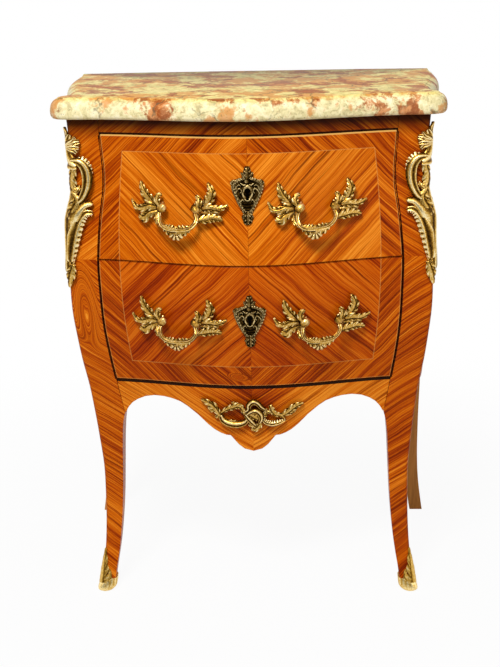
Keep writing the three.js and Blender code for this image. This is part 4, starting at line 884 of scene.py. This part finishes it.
# One frond over the wood, in rings across its course, with rounded ends. A stem's ring is an oval with
# ribs; that of a leaf or a ribbon has its section above and a half oval below
def frond(place, size, form, rows, relief, flutes=3, teeth=0, lift=0.0004):
    rows = np.array(rows) / 1000
    count = 26 + 12 * len(rows)
    line = runThrough(rows[:, :3], count)
    half = spread(rows[:, 3], count) / 2
    thick = spread(np.array(relief) / 1000, count)
    u = np.linspace(0, 1, count)[:, None]
    along = np.gradient(line, axis=0)
    span = np.hypot(along[:, 0], along[:, 1]) + 1e-9
    acrossX, acrossZ = (-along[:, 1] / span)[:, None], (along[:, 0] / span)[:, None]
    close = np.sqrt(1 - (1 - np.clip(np.minimum(u, 1 - u) / frondForm["end"], 0, 1)) ** 2)
    if form == "stem":
        turn = np.linspace(0, 2 * math.pi, 25)[None, :-1]
        rib = 1 + frondForm["rib"] * np.cos(flutes * turn)
        across = half * np.cos(turn) * rib * close
        height = thick / 2 * np.sin(turn) * rib * close
        # painted highlight along the stem's upper side and on its ribs
        shade = np.clip(0.5 + 0.5 * np.sin(turn), 0, 1) * 0.35 + (rib - 0.88) * 1.7
    else:
        v = np.linspace(-1, 1, 29)[None]
        crown = np.sqrt(1 - v**2)
        if form == "leaf":
            body, notch, shadeTop = leafSection(u, v, crown, teeth)
        else:
            body, notch, shadeTop = ribbonSection(u, v, crown, teeth, flutes)
        top = thick / 2 * body
        low = -thick / 2 * crown[:, ::-1] * frondForm["under"]
        wide = half * (1 - notch) * v
        across = np.concatenate([wide, wide[:, ::-1][:, 1:-1]], 1) * close
        height = np.concatenate([top, low[:, 1:-1]], 1) * close
        shade = np.concatenate([shadeTop * np.ones_like(u), np.full((count, 27), 0.2)], 1)
    x = (line[:, :1] + acrossX * across) * size
    z = (line[:, 1:2] + acrossZ * across) * size
    h = np.maximum((line[:, 2:3] + height) * size, lift)
    # painted shade, darker towards the wood, as in the hollows of the casting
    dark = frondForm["hollowShade"]
    clear = dark + (1 - dark) * ease(h, *frondForm["hollow"])
    return place(x, z, h), {"shade": np.clip(shade, 0, 1) * clear}


# A fan of ribs: the size of a cosine of the angle makes the ribs and the scallops of the rim, and the
# height outward is part of a sine
def shell(place, size, centre, radius, turns, ribs, thick, height):
    angle = np.linspace(turns[0], turns[1], 61)[:, None]
    v = np.linspace(0, 1, 14)[None]
    wave = np.abs(np.cos(ribs * (angle - turns[0]) / (turns[1] - turns[0]) * math.pi))
    reach = radius * (0.12 + 0.88 * v) * (1 + 0.10 * (wave - 0.5) * v)
    dome = np.sin(math.pi * np.clip(v * 0.85 + 0.1, 0, 1)) * (0.6 + 0.4 * wave)
    ends = np.sqrt(np.clip(1 - (2 * (angle - turns[0]) / (turns[1] - turns[0]) - 1) ** 8, 0, 1))
    top = height + thick * dome * ends
    low = np.full(top.shape, height - thick * 0.3)
    r = np.concatenate([reach, reach[:, ::-1]], 1)
    hgt = np.concatenate([top, low], 1)
    x = (centre[0] + r * np.cos(angle)) * size
    z = (centre[1] + r * np.sin(angle)) * size
    # painted highlight on each rib
    shade = np.concatenate([0.15 + 0.65 * wave * np.ones_like(v), np.full(low.shape, 0.2)], 1)
    return place(x, z, np.maximum(hgt * size, 0.0004)), {"shade": shade}


# Places on the front face, h in front of it
def onFront(centreX, centreZ):
    def place(x, z, h):
        px, pz = centreX + x, centreZ + z
        return pointsAt(px, frontY(px, pz) - h, pz)
    return place


# Places round a front corner: along the front face, round the arris, or back along the side
def onCorner(bottom, hand):
    radius = caseForm["arris"]

    def place(inward, up, h):
        z = bottom + up
        arrisX, arrisY, bow, backX = caseAt(z)
        endX, endY = arrisX - radius, frontY(arrisX - radius, z)
        turn = -(math.pi / 4) * (1 + np.clip(inward / radius, -1, 1))
        frontX = arrisX - np.maximum(inward, radius)
        sideY = endY + np.maximum(-inward, radius)
        onFace, onSide = inward > radius, inward < -radius
        x = np.select([onFace, onSide], [frontX, sideX(sideY, z) + h], endX + (radius + h) * np.cos(turn))
        y = np.select([onFace, onSide], [frontY(frontX, z) - h, sideY],
                      endY + radius + (radius + h) * np.sin(turn))
        return pointsAt(x * hand, y, z)
    return place


# Width of a handle, and its place out from the middle and up, in each drawer
handleForm = {
    "width": 0.151, "upper": (0.103, 0.6485), "lower": (0.109, 0.4735),
    "shell": {"centre": (-0.025, -0.130), "radius": 0.084, "turns": (math.pi * 1.03, math.pi * 1.97),
              "ribs": 5, "thick": 0.03, "height": 0.145},
}
handleFronds = [
    stem([[-172, 83, 45, 50], [-195, 10, 105, 42], [-175, -67, 145, 40], [-100, -107, 157, 44],
          [20, -107, 160, 44], [120, -85, 152, 40], [182, -10, 120, 42], [158, 85, 45, 50]],
         (50, 45, 45, 45, 50), flutes=6),
    leaf([[-250, 65, 20, 100], [-195, 78, 30, 110], [-140, 85, 20, 100]], (40, 80, 50), teeth=3),
    stem([[-215, 90, 60, 70], [-180, 75, 85, 115], [-150, 45, 75, 80]], (70, 85, 60), flutes=1),
    leaf([[-185, 90, 85, 50], [-215, 150, 85, 75], [-205, 200, 75, 60], [-165, 212, 65, 30]],
         (45, 45), teeth=3),
    leaf([[-225, 80, 30, 80], [-290, 150, 50, 110], [-352, 235, 55, 92], [-383, 335, 40, 30]],
         (55, 50), teeth=6),
    leaf([[-215, 75, 40, 80], [-300, 92, 70, 100], [-380, 66, 60, 85], [-440, 80, 45, 60],
          [-485, 150, 30, 20]], (55, 45), teeth=5),
    leaf([[-215, 75, 30, 40], [-260, 120, 55, 50], [-310, 130, 45, 20]], (35, 30), teeth=3),
    leaf([[-210, 45, 35, 70], [-300, 20, 60, 100], [-360, -25, 60, 112], [-410, 0, 35, 50]],
         (50, 45), teeth=4),
    leaf([[-235, 20, 50, 30], [-225, -45, 100, 50], [-180, -85, 140, 20]], teeth=4),
    leaf([[250, 65, 20, 100], [195, 78, 30, 110], [140, 85, 20, 100]], (40, 80, 50), teeth=3),
    stem([[205, 100, 60, 70], [170, 85, 85, 115], [145, 55, 75, 80]], (70, 85, 60), flutes=1),
    leaf([[180, 90, 85, 50], [205, 145, 85, 75], [200, 190, 75, 60], [170, 208, 65, 30]],
         (45, 45), teeth=3),
    leaf([[230, 80, 30, 80], [300, 165, 50, 112], [330, 250, 55, 98], [293, 337, 30, 30]],
         (55, 50), teeth=6),
    leaf([[225, 80, 40, 80], [310, 100, 70, 100], [380, 88, 60, 85], [440, 100, 45, 60],
          [495, 125, 30, 20]], (55, 45), teeth=5),
    leaf([[210, 40, 35, 50], [280, 45, 55, 60], [350, 55, 50, 60], [410, 40, 35, 20]], (35, 30), teeth=4),
    leaf([[185, -20, 100, 60], [270, -10, 70, 100], [330, 0, 60, 100], [385, -5, 50, 75],
          [440, -25, 35, 40]], (50, 45), teeth=6),
    leaf([[-160, -75, 152, 40], [-100, -108, 160, 115], [-20, -118, 162, 105]], (30, 45, 45), teeth=5),
    leaf([[130, -75, 150, 40], [60, -108, 160, 115], [-30, -118, 162, 105]], (30, 45, 45), teeth=5),
]

for level in ("upper", "lower"):
    spreadX, centreZ = handleForm[level]
    for hand, word in hands:
        place = onFront(hand * spreadX, centreZ)
        tubes = [frond(place, handleForm["width"], **shape) for shape in handleFronds]
        tubes.append(shell(place, handleForm["width"], **handleForm["shell"]))
        makePiece(f"{level}{word.title()}Handle", tubes, finishes["gilt"], f"{level}_drawer",
                  [f"{level}_{word}_handle"], 55)
print("handles made")

escutcheonForm = {"width": 0.048, "height": 0.085, "relief": 0.0034, "keyShare": 0.48, "keyDrop": 0.081,
                  "keyHalf": 0.0035, "keyHeight": 0.016, "rim": (0.8, 0.16), "ring": (0.0068, 0.0014),
                  "lineStep": 0.0022}
# Height and half-width of the plate, as shares
escutcheonEdge = np.array([
    [0, 0.05], [0.03, 0.14], [0.09, 0.17], [0.165, 0.12], [0.235, 0.2], [0.295, 0.2], [0.4, 0.335],
    [0.5, 0.44], [0.6, 0.485], [0.715, 0.47], [0.765, 0.34], [0.81, 0.17], [0.88, 0.15], [0.95, 0.11],
    [1, 0.08],
])


# Escutcheon: a plate whose height over the wood is a hollowed field with a raised edge, sunk almost to the
# wood at the keyhole, which is painted black as its shade, under scrolled ribbons, a crown and a pendant
def escutcheonPlate(place, keyUp):
    form = escutcheonForm
    up = np.linspace(0, 1, 150)[:, None]
    half = np.interp(up, escutcheonEdge[:, 0], escutcheonEdge[:, 1]) * form["width"] * 0.97
    v = np.linspace(-1, 1, 61)[None]
    x, z = half * v, up * form["height"] * np.ones_like(v)
    rim = bell(np.abs(v), *form["rim"])
    around = bell(np.hypot(x, (z - keyUp + 0.003) * 0.7), *form["ring"])
    lines = 0.5 + 0.5 * np.cos(np.hypot(x, z - keyUp) / form["lineStep"] * math.pi)
    lift = 0.25 + 0.45 * np.maximum(rim, around) + 0.08 * lines
    fall = np.sqrt(1 - np.abs(v) ** 10)
    hole = (np.hypot(x, z - keyUp) < form["keyHalf"] * 1.15) | (
        (np.abs(x) < form["keyHalf"] * 0.55) & (z < keyUp) & (z > keyUp - form["keyHeight"] + 0.0035))
    top = np.where(hole, 0.0005, 0.0005 + form["relief"] * lift * fall)
    # painted highlight on the raised edge and the rings, and the keyhole painted black as the shade inside
    # it
    shade = np.where(hole, -0.5, 0.10 + 0.60 * np.maximum(rim * 0.6, around) + 0.28 * lines)
    backX = x[:, ::-6]
    back = place(backX, z[:, :backX.shape[1]], 0.0004)
    values = {"shade": np.concatenate([shade, np.full(backX.shape, 0.2)], 1)}
    return np.concatenate([place(x, z, top), back], 1), values


# One half; the other is its mirror image
escutcheonFronds = [
    ribbon([[30, 800, 30, 40], [110, 785, 35, 50], [200, 745, 40, 60], [252, 680, 42, 62],
            [238, 585, 40, 55], [193, 470, 40, 50], [142, 360, 38, 45], [85, 270, 35, 45],
            [20, 215, 30, 30]], (45, 40), teeth=16),
    leaf([[232, 670, 40, 40], [262, 710, 50, 70], [245, 755, 45, 60], [190, 740, 40, 30]],
         (40, 50), teeth=3),
    stem([[120, 720, 35, 30], [65, 685, 45, 35], [30, 700, 40, 20]], flutes=4),
    stem([[185, 660, 30, 20], [150, 690, 40, 35], [115, 665, 35, 20]], flutes=4),
    stem([[210, 530, 35, 30], [175, 600, 45, 40], [125, 625, 45, 35], [100, 575, 40, 30],
          [130, 545, 35, 30]], flutes=4),
    stem([[110, 330, 35, 30], [120, 400, 42, 35], [85, 435, 42, 35], [55, 400, 35, 20]], flutes=4),
    leaf([[20, 820, 35, 40], [75, 850, 40, 60], [100, 905, 30, 20]], teeth=3),
    leaf([[10, 210, 30, 40], [70, 165, 35, 50], [100, 115, 25, 20]], teeth=3),
]
escutcheonMiddle = [
    leaf([[0, 790, 35, 80], [0, 860, 45, 130], [0, 930, 40, 110], [0, 990, 25, 50]], (50, 50), teeth=4),
    stem([[0, 720, 35, 70], [0, 750, 42.5, 90], [0, 780, 50, 60]], (50, 60), flutes=1),
    leaf([[0, 240, 30, 70], [0, 150, 40, 110], [0, 70, 35, 100], [0, 10, 20, 30]], (50, 40), teeth=4),
]


# The same fronds with their places across turned over
def mirrored(shapes):
    return [{**shape, "rows": [[-x, *rest] for x, *rest in shape["rows"]]} for shape in shapes]


for level, high in (("upper", drawerForm["high"]), ("lower", drawerForm["division"])):
    keyUp = escutcheonForm["keyHeight"] / 2 + escutcheonForm["height"] * escutcheonForm["keyShare"]
    place = onFront(0.0, high - escutcheonForm["keyDrop"] - keyUp)
    tubes = [escutcheonPlate(place, keyUp)]
    tubes += [frond(place, escutcheonForm["height"], **shape)
              for shape in escutcheonFronds + mirrored(escutcheonFronds) + escutcheonMiddle]
    makePiece(f"{level}Escutcheon", tubes, finishes["darkBronze"], f"{level}_drawer",
              [f"{level}_escutcheon"], 60)

# Height of a corner mount, and its top's distance under the marble. Its rows count inward from the arris
chuteForm = {"height": 0.246, "drop": 0.011}
chuteFronds = [
    ribbon([[-6, 875, 12, 35], [-8, 925, 12, 30], [-12, 965, 12, 35], [-26, 996, 16, 10]], (24, 24)),
    ribbon([[-10, 875, 16, 30], [3, 920, 16, 50], [18, 955, 20, 20]]),
    ribbon([[-10, 875, 16, 30], [20, 905, 28, 45], [48, 940, 22, 20]]),
    ribbon([[-10, 875, 16, 30], [35, 902, 30, 50], [74, 909, 20, 30]]),
    ribbon([[-10, 875, 16, 30], [30, 878, 28, 50], [66, 872, 20, 30]]),
    ribbon([[-10, 875, 16, 30], [26, 862, 24, 50], [50, 838, 20, 30]]),
    stem([[-8, 900, 12, 40], [-18, 845, 12, 52], [2, 790, 16, 52], [35, 758, 30, 42]], flutes=4),
    ribbon([[0, 790, 16, 30], [48, 790, 35, 50], [86, 757, 38, 66], [100, 700, 38, 70], [94, 636, 38, 62],
            [73, 580, 35, 52], [45, 545, 30, 40], [0, 530, 16, 30]], flutes=2),
    ribbon([[36, 790, 25, 30], [75, 797, 30, 55], [105, 767, 30, 55], [118, 722, 25, 40],
            [118, 660, 20, 10]], teeth=10),
    stem([[-45, 769, 16, 40], [-10, 754, 16, 35], [40, 750, 30, 30]]),
    leaf([[15, 760, 20, 30], [16, 725, 22, 40], [6, 678, 16, 50], [10, 630, 16, 60], [35, 587, 25, 20]],
         teeth=4),
    leaf([[20, 600, 24, 30], [42, 620, 30, 30], [50, 645, 20, 10]]),
    stem([[4, 750, 6, 30], [0, 650, 6, 35], [0, 590, 8, 35], [-12, 510, 12, 45]], (18, 30)),
    ribbon([[138, 531, 20, 30], [80, 517, 30, 48], [36, 461, 36, 70], [12, 385, 16, 78], [3, 270, 16, 66],
            [-2, 160, 16, 40]], flutes=1),
    leaf([[12, 600, 20, 30], [34, 548, 28, 60], [22, 490, 30, 66], [2, 430, 24, 30]], (30, 35), teeth=4),
    ribbon([[50, 470, 12, 80], [22, 360, 12, 110], [2, 210, 12, 90], [-4, 90, 10, 50]],
           (16, 20, 20), flutes=4),
    ribbon([[142, 470, 20, 35], [96, 467, 30, 55], [60, 420, 30, 74], [38, 336, 30, 78],
            [27, 245, 24, 62], [20, 165, 20, 35]], flutes=2, teeth=13),
    ribbon([[-12, 545, 14, 40], [-26, 475, 22, 70], [-28, 410, 26, 80], [-22, 330, 22, 65],
            [-14, 217, 18, 50], [-6, 90, 16, 40]], (30, 40, 35, 30)),
    leaf([[30, 155, 20, 30], [22, 91, 24, 60], [6, 0, 12, 10]], teeth=4),
    ribbon([[-10, 770, 12, 30], [-70, 745, 8, 40], [-95, 680, 8, 45], [-85, 610, 8, 40],
            [-50, 555, 8, 35], [-5, 530, 12, 30]], (18, 18), teeth=14),
    leaf([[-100, 500, 10, 20], [-65, 465, 12, 45], [-45, 380, 14, 50], [-30, 250, 14, 30]],
         (20, 30), teeth=8),
]
for hand, word in hands:
    place = onCorner(caseForm["top"] - chuteForm["drop"] - chuteForm["height"], hand)
    tubes = [frond(place, chuteForm["height"], lift=0.0008, **shape) for shape in chuteFronds]
    makePiece(f"{word}CornerMount", tubes, finishes["mount"], "root",
              [f"{word}_corner_mount"], 55)

apronMountForm = {"width": 0.164, "height": 0.324}
apronMountFronds = [
    leaf([[-300, -8, 20, 40], [-338, 54, 35, 70], [-379, 113, 40, 90], [-442, 150, 35, 65],
          [-497, 168, 20, 20]], (45, 40), teeth=5),
    leaf([[-325, 50, 30, 35], [-334, 4, 30, 40], [-362, -16, 25, 30]], teeth=3),
    leaf([[-350, 60, 30, 40], [-395, 65, 35, 50], [-430, 100, 25, 20]], teeth=3),
    ribbon([[-310, 20, 20, 40], [-286, -38, 30, 65], [-226, -69, 40, 75], [-144, -77, 40, 75],
            [-77, -55, 35, 60], [-45, -8, 30, 30]], (50, 55), flutes=2),
    leaf([[-250, -49, 35, 30], [-200, -41, 45, 40], [-150, -49, 30, 20]], teeth=3),
    leaf([[-310, 30, 20, 35], [-252, 77, 30, 55], [-193, 104, 35, 70], [-137, 121, 35, 70],
          [-95, 88, 30, 60], [-80, 20, 30, 30]], (45, 45), teeth=7),
    leaf([[-120, 110, 30, 35], [-155, 138, 35, 50], [-202, 152, 20, 15]], teeth=3),
    ribbon([[-100, 40, 30, 30], [-40, 75, 35, 45], [-33, 125, 40, 55], [4, 160, 40, 62],
            [49, 148, 40, 52], [83, 104, 35, 50], [125, 75, 25, 30]], (45, 50), flutes=2),
    ribbon([[-70, 10, 30, 30], [-18, 57, 50, 50], [34, 71, 55, 60], [77, 33, 55, 60], [83, -16, 50, 50],
            [60, -70, 35, 30]], (50, 50), flutes=2),
    ribbon([[-75, 30, 30, 35], [-29, -24, 45, 55], [4, -61, 45, 55], [30, -90, 35, 30]],
           (45, 45), flutes=2),
    leaf([[-40, 35, 30, 50], [15, 10, 40, 100], [60, -29, 30, 50]], (30, 60, 30), teeth=4),
    leaf([[80, -33, 30, 35], [60, -93, 40, 65], [19, -130, 40, 60], [-22, -127, 20, 20]], teeth=4),
    leaf([[30, -82, 30, 30], [-10, -94, 35, 45], [-45, -78, 20, 15]], teeth=3),
    leaf([[70, 40, 30, 50], [120, 30, 40, 60], [135, 90, 25, 20]], teeth=3),
    ribbon([[85, 0, 30, 30], [123, -48, 40, 60], [187, -70, 40, 70], [261, -57, 35, 60],
            [321, -38, 20, 20]], (50, 50), teeth=11),
    leaf([[168, 121, 20, 40], [187, 75, 35, 60], [215, 30, 35, 60], [272, 8, 30, 50], [300, -33, 20, 30]],
         teeth=6),
    ribbon([[110, 50, 20, 30], [160, 50, 30, 45], [220, 30, 30, 30]], flutes=2),
    leaf([[260, -4, 20, 40], [328, 38, 35, 75], [391, 88, 35, 80], [443, 113, 30, 60], [492, 124, 20, 15]],
         (45, 40), teeth=5),
    leaf([[330, 40, 30, 30], [370, 35, 35, 50], [420, 65, 25, 20]], teeth=3),
]
place = onFront(0.0, apronMountForm["height"])
tubes = [frond(place, apronMountForm["width"], **shape) for shape in apronMountFronds]
makePiece("apronMount", tubes, finishes["gilt"], "root", ["apron_mount"], 55)

shoeForm = {"height": 0.022, "leaf": 0.073, "wall": 0.0032, "toe": 0.006, "heelRise": 0.011, "flutes": 16,
            "fluteDepth": 0.010, "power": (2.3, 3.5)}
# Height, thickness of the wall and reach of the toe, as shares
shoeShares = np.array([
    [0, 0.45, 0.35], [0.1, 0.85, 0.85], [0.25, 1, 1], [0.45, 0.98, 0.8], [0.7, 0.9, 0.35],
    [0.88, 0.8, 0.12], [1, 0.72, 0],
])


# Shoe: rounded rectangles round the foot that swell to the toe; their outline is a superellipse, rounder
# near the sole, whose reach carries upright flutes. The sole rises away from the toe
def shoeBody(hand):
    up = np.linspace(0, 1, 60)[:, None]
    z = up * shoeForm["height"]
    arrisX, arrisY, bow, backX = caseAt(z)
    wall = shoeForm["wall"] * smoothRead(shoeShares, up, 1)
    toe = shoeForm["toe"] * smoothRead(shoeShares, up, 2)
    x0, x1 = stileInner(z) - wall, arrisX + wall
    y0, y1 = frontY(stileInner(z), z) - wall, arrisY + legForm["topDepth"] * taperAt(z) + wall
    turn = np.linspace(0, 2 * math.pi, 97)[None, :-1]
    cosine, sine = np.cos(turn), np.sin(turn)
    soft, squarer = shoeForm["power"]
    power = soft + (squarer - soft) * ease(up, 0, 0.5)
    square = (np.abs(cosine) ** power + np.abs(sine) ** power) ** (-1 / power)
    flute = np.cos(turn * shoeForm["flutes"]) * ease(up, 0.3, 0.5)
    reach = square * (1 + shoeForm["fluteDepth"] * flute)
    toward = np.clip((cosine - sine) / 1.414, 0, 1) ** 2
    x = (x0 + x1) / 2 + (x1 - x0) / 2 * reach * cosine + toe / 2 * toward
    y = (y0 + y1) / 2 + (y1 - y0) / 2 * reach * sine - toe / 2 * toward
    away = np.clip(0.5 - (cosine - sine) / 2.828, 0, 1) ** 1.5
    points = pointsAt(x * hand, y, z + shoeForm["heelRise"] * away * (1 - up) ** 1.5)
    # painted highlight on the flutes and towards the toe
    return points, {"shade": np.clip(0.66 + 0.14 * flute + 0.15 * toward, 0, 1)}


shoeFronds = [
    leaf([[0, 160, 45, 320], [10, 520, 40, 240], [0, 980, 20, 50]], (60, 60, 30), teeth=5),
    leaf([[80, 180, 35, 120], [170, 330, 35, 120], [150, 500, 20, 30]], (60, 50, 30), teeth=3),
    leaf([[-80, 180, 35, 120], [-170, 330, 35, 120], [-150, 500, 20, 30]], (60, 50, 30), teeth=3),
]
for hand, word in hands:
    place = onCorner(0.0, hand)
    tubes = [shoeBody(hand)] + [frond(place, shoeForm["leaf"], **shape) for shape in shoeFronds]
    makePiece(f"{word}Shoe", tubes, finishes["shoe"], "root", [f"{word}_shoe"], 55)
print("castings made")

# The plain inner pieces keep their CAD solid, and only take a finish
slotOf = {entry["node"]: entry["material_slot"] for entry in frame["record"]["subparts"]}
for name, node in frame["nodes"].items():
    if slotOf[name] in ("carcass", "steel") and not node.hide_render:
        for holder in node.material_slots:
            holder.link = "OBJECT"
            holder.material = finishes[slotOf[name]]
print("inner pieces finished")

room = {
    "floor": 0.82, "floorHalf": 12.0, "lift": 0.94, "fade": (0.3, 1.3), "sky": 0.2,
    "card": {"half": 2.6, "behind": -3.2, "top": 2.3, "colour": (0.02, 0.018, 0.015, 1)},
}


# A flat sheet through four corners
def flatSheet(name, corners, material):
    mesh = bpy.data.meshes.new(name)
    mesh.from_pydata(corners, [], [(0, 1, 2, 3)])
    mesh.materials.append(material)
    sheet = bpy.data.objects.new(name, mesh)
    bpy.context.scene.collection.objects.link(sheet)
    return sheet


# The floor is pale, and what is seen of it is lifted towards white, keeping part of the shadow. The lift
# grows to full with the distance from the chest, between the two radii of the fade
floorBench = Surface("paleFloor", 0.0, 0.2, 0.9)
floorBench.shader.inputs["Base Color"].default_value = (room["floor"],) * 3 + (1,)
glow = floorBench.node("Emission", None, {"Color": (1, 1, 1, 1), "Strength": 1.0})
distance = floorBench.node("VectorMath", {"operation": "LENGTH"}, {0: floorBench.axes()[0]}, out=1)
lift = floorBench.step(distance, *room["fade"]) * (1.0 - room["lift"]) + room["lift"]
blend = floorBench.node("MixShader", None, {0: floorBench.seen() * lift,
                                            1: Wire(floorBench, floorBench.shader.outputs[0]), 2: glow})
floorBench.tree.links.new(blend.socket, floorBench.tree.nodes["Material Output"].inputs[0])
floorPlaces = [(x * room["floorHalf"], y * room["floorHalf"], 0)
               for x, y in ((-1, -1), (1, -1), (1, 1), (-1, 1))]
floor = flatSheet("floor", floorPlaces, floorBench.material)

# The sky is full white for the camera and for reflections, and dim where it lights things
world = bpy.data.worlds.new("studio")
bpy.context.scene.world = world
world.use_nodes = True
skyBench = Bench(world.node_tree)
sky = world.node_tree.nodes["Background"]
sky.inputs["Color"].default_value = (1, 1, 1, 1)
skyStrength = skyBench.seen() * (1.0 - room["sky"]) + room["sky"]
world.node_tree.links.new(skyStrength.socket, sky.inputs["Strength"])

# A dark card behind the camera is seen by reflections only, and gives the bronze its dark side
cardForm = room["card"]
cardSurface = Surface("darkCard", 0.0, 0.0, 1.0)
cardSurface.shader.inputs["Base Color"].default_value = cardForm["colour"]
cardPlaces = [(side * cardForm["half"], cardForm["behind"], high)
              for side, high in ((-1, 0), (1, 0), (1, cardForm["top"]), (-1, cardForm["top"]))]
card = flatSheet("card", cardPlaces, cardSurface.material)
card.visible_camera = card.visible_diffuse = card.visible_shadow = card.visible_transmission = False


# Place and turn of a thing, from where it is and its own right, up and back
def standing(at, right, up, back):
    return Matrix.Translation(at) @ Matrix(np.column_stack([right, up, back]).tolist()).to_4x4()


# A soft bright lamp high in front, and a wide weak one from the right
lamps = [
    {"name": "keyLamp", "at": (-0.45, -1.95, 2.85), "size": 0.8, "power": 80},
    {"name": "fillLamp", "at": (1.6, -2.3, 1.2), "size": 1.6, "power": 9},
]
lampAim = np.array([0, 0, 0.45])
for lamp in lamps:
    light = bpy.data.lights.new(lamp["name"], "AREA")
    light.size = lamp["size"]
    light.energy = lamp["power"]
    holder = bpy.data.objects.new(lamp["name"], light)
    away = np.array(lamp["at"]) - lampAim
    away /= np.linalg.norm(away)
    rightward = np.cross([0, 0, 1], away)
    rightward /= np.linalg.norm(rightward)
    holder.matrix_world = standing(lamp["at"], rightward, np.cross(away, rightward), away)
    bpy.context.scene.collection.objects.link(holder)

# The camera is matched to the marble and the feet in the photograph
view = {"at": (0.0798, backPlane - 2.2417, 1.0504), "yaw": -2.486, "pitch": 17.482, "roll": 1.22,
        "lens": 68.8739, "sensor": 36}
yaw, pitch, roll = (math.radians(view[turn]) for turn in ("yaw", "pitch", "roll"))
forward = np.array([math.sin(yaw) * math.cos(pitch), math.cos(yaw) * math.cos(pitch), -math.sin(pitch)])
sideways = np.array([math.cos(yaw), -math.sin(yaw), 0])
down = np.cross(forward, sideways)
imageRight = sideways * math.cos(roll) + down * math.sin(roll)
imageUp = sideways * math.sin(roll) - down * math.cos(roll)
cameraData = bpy.data.cameras.new("camera")
cameraData.lens, cameraData.sensor_width = view["lens"], view["sensor"]
camera = bpy.data.objects.new("camera", cameraData)
camera.matrix_world = standing(view["at"], imageRight, imageUp, -forward)
bpy.context.scene.collection.objects.link(camera)
bpy.context.scene.camera = camera
bpy.context.scene.view_settings.view_transform = "Standard"

bpy.context.view_layer.update()
print("scene made")
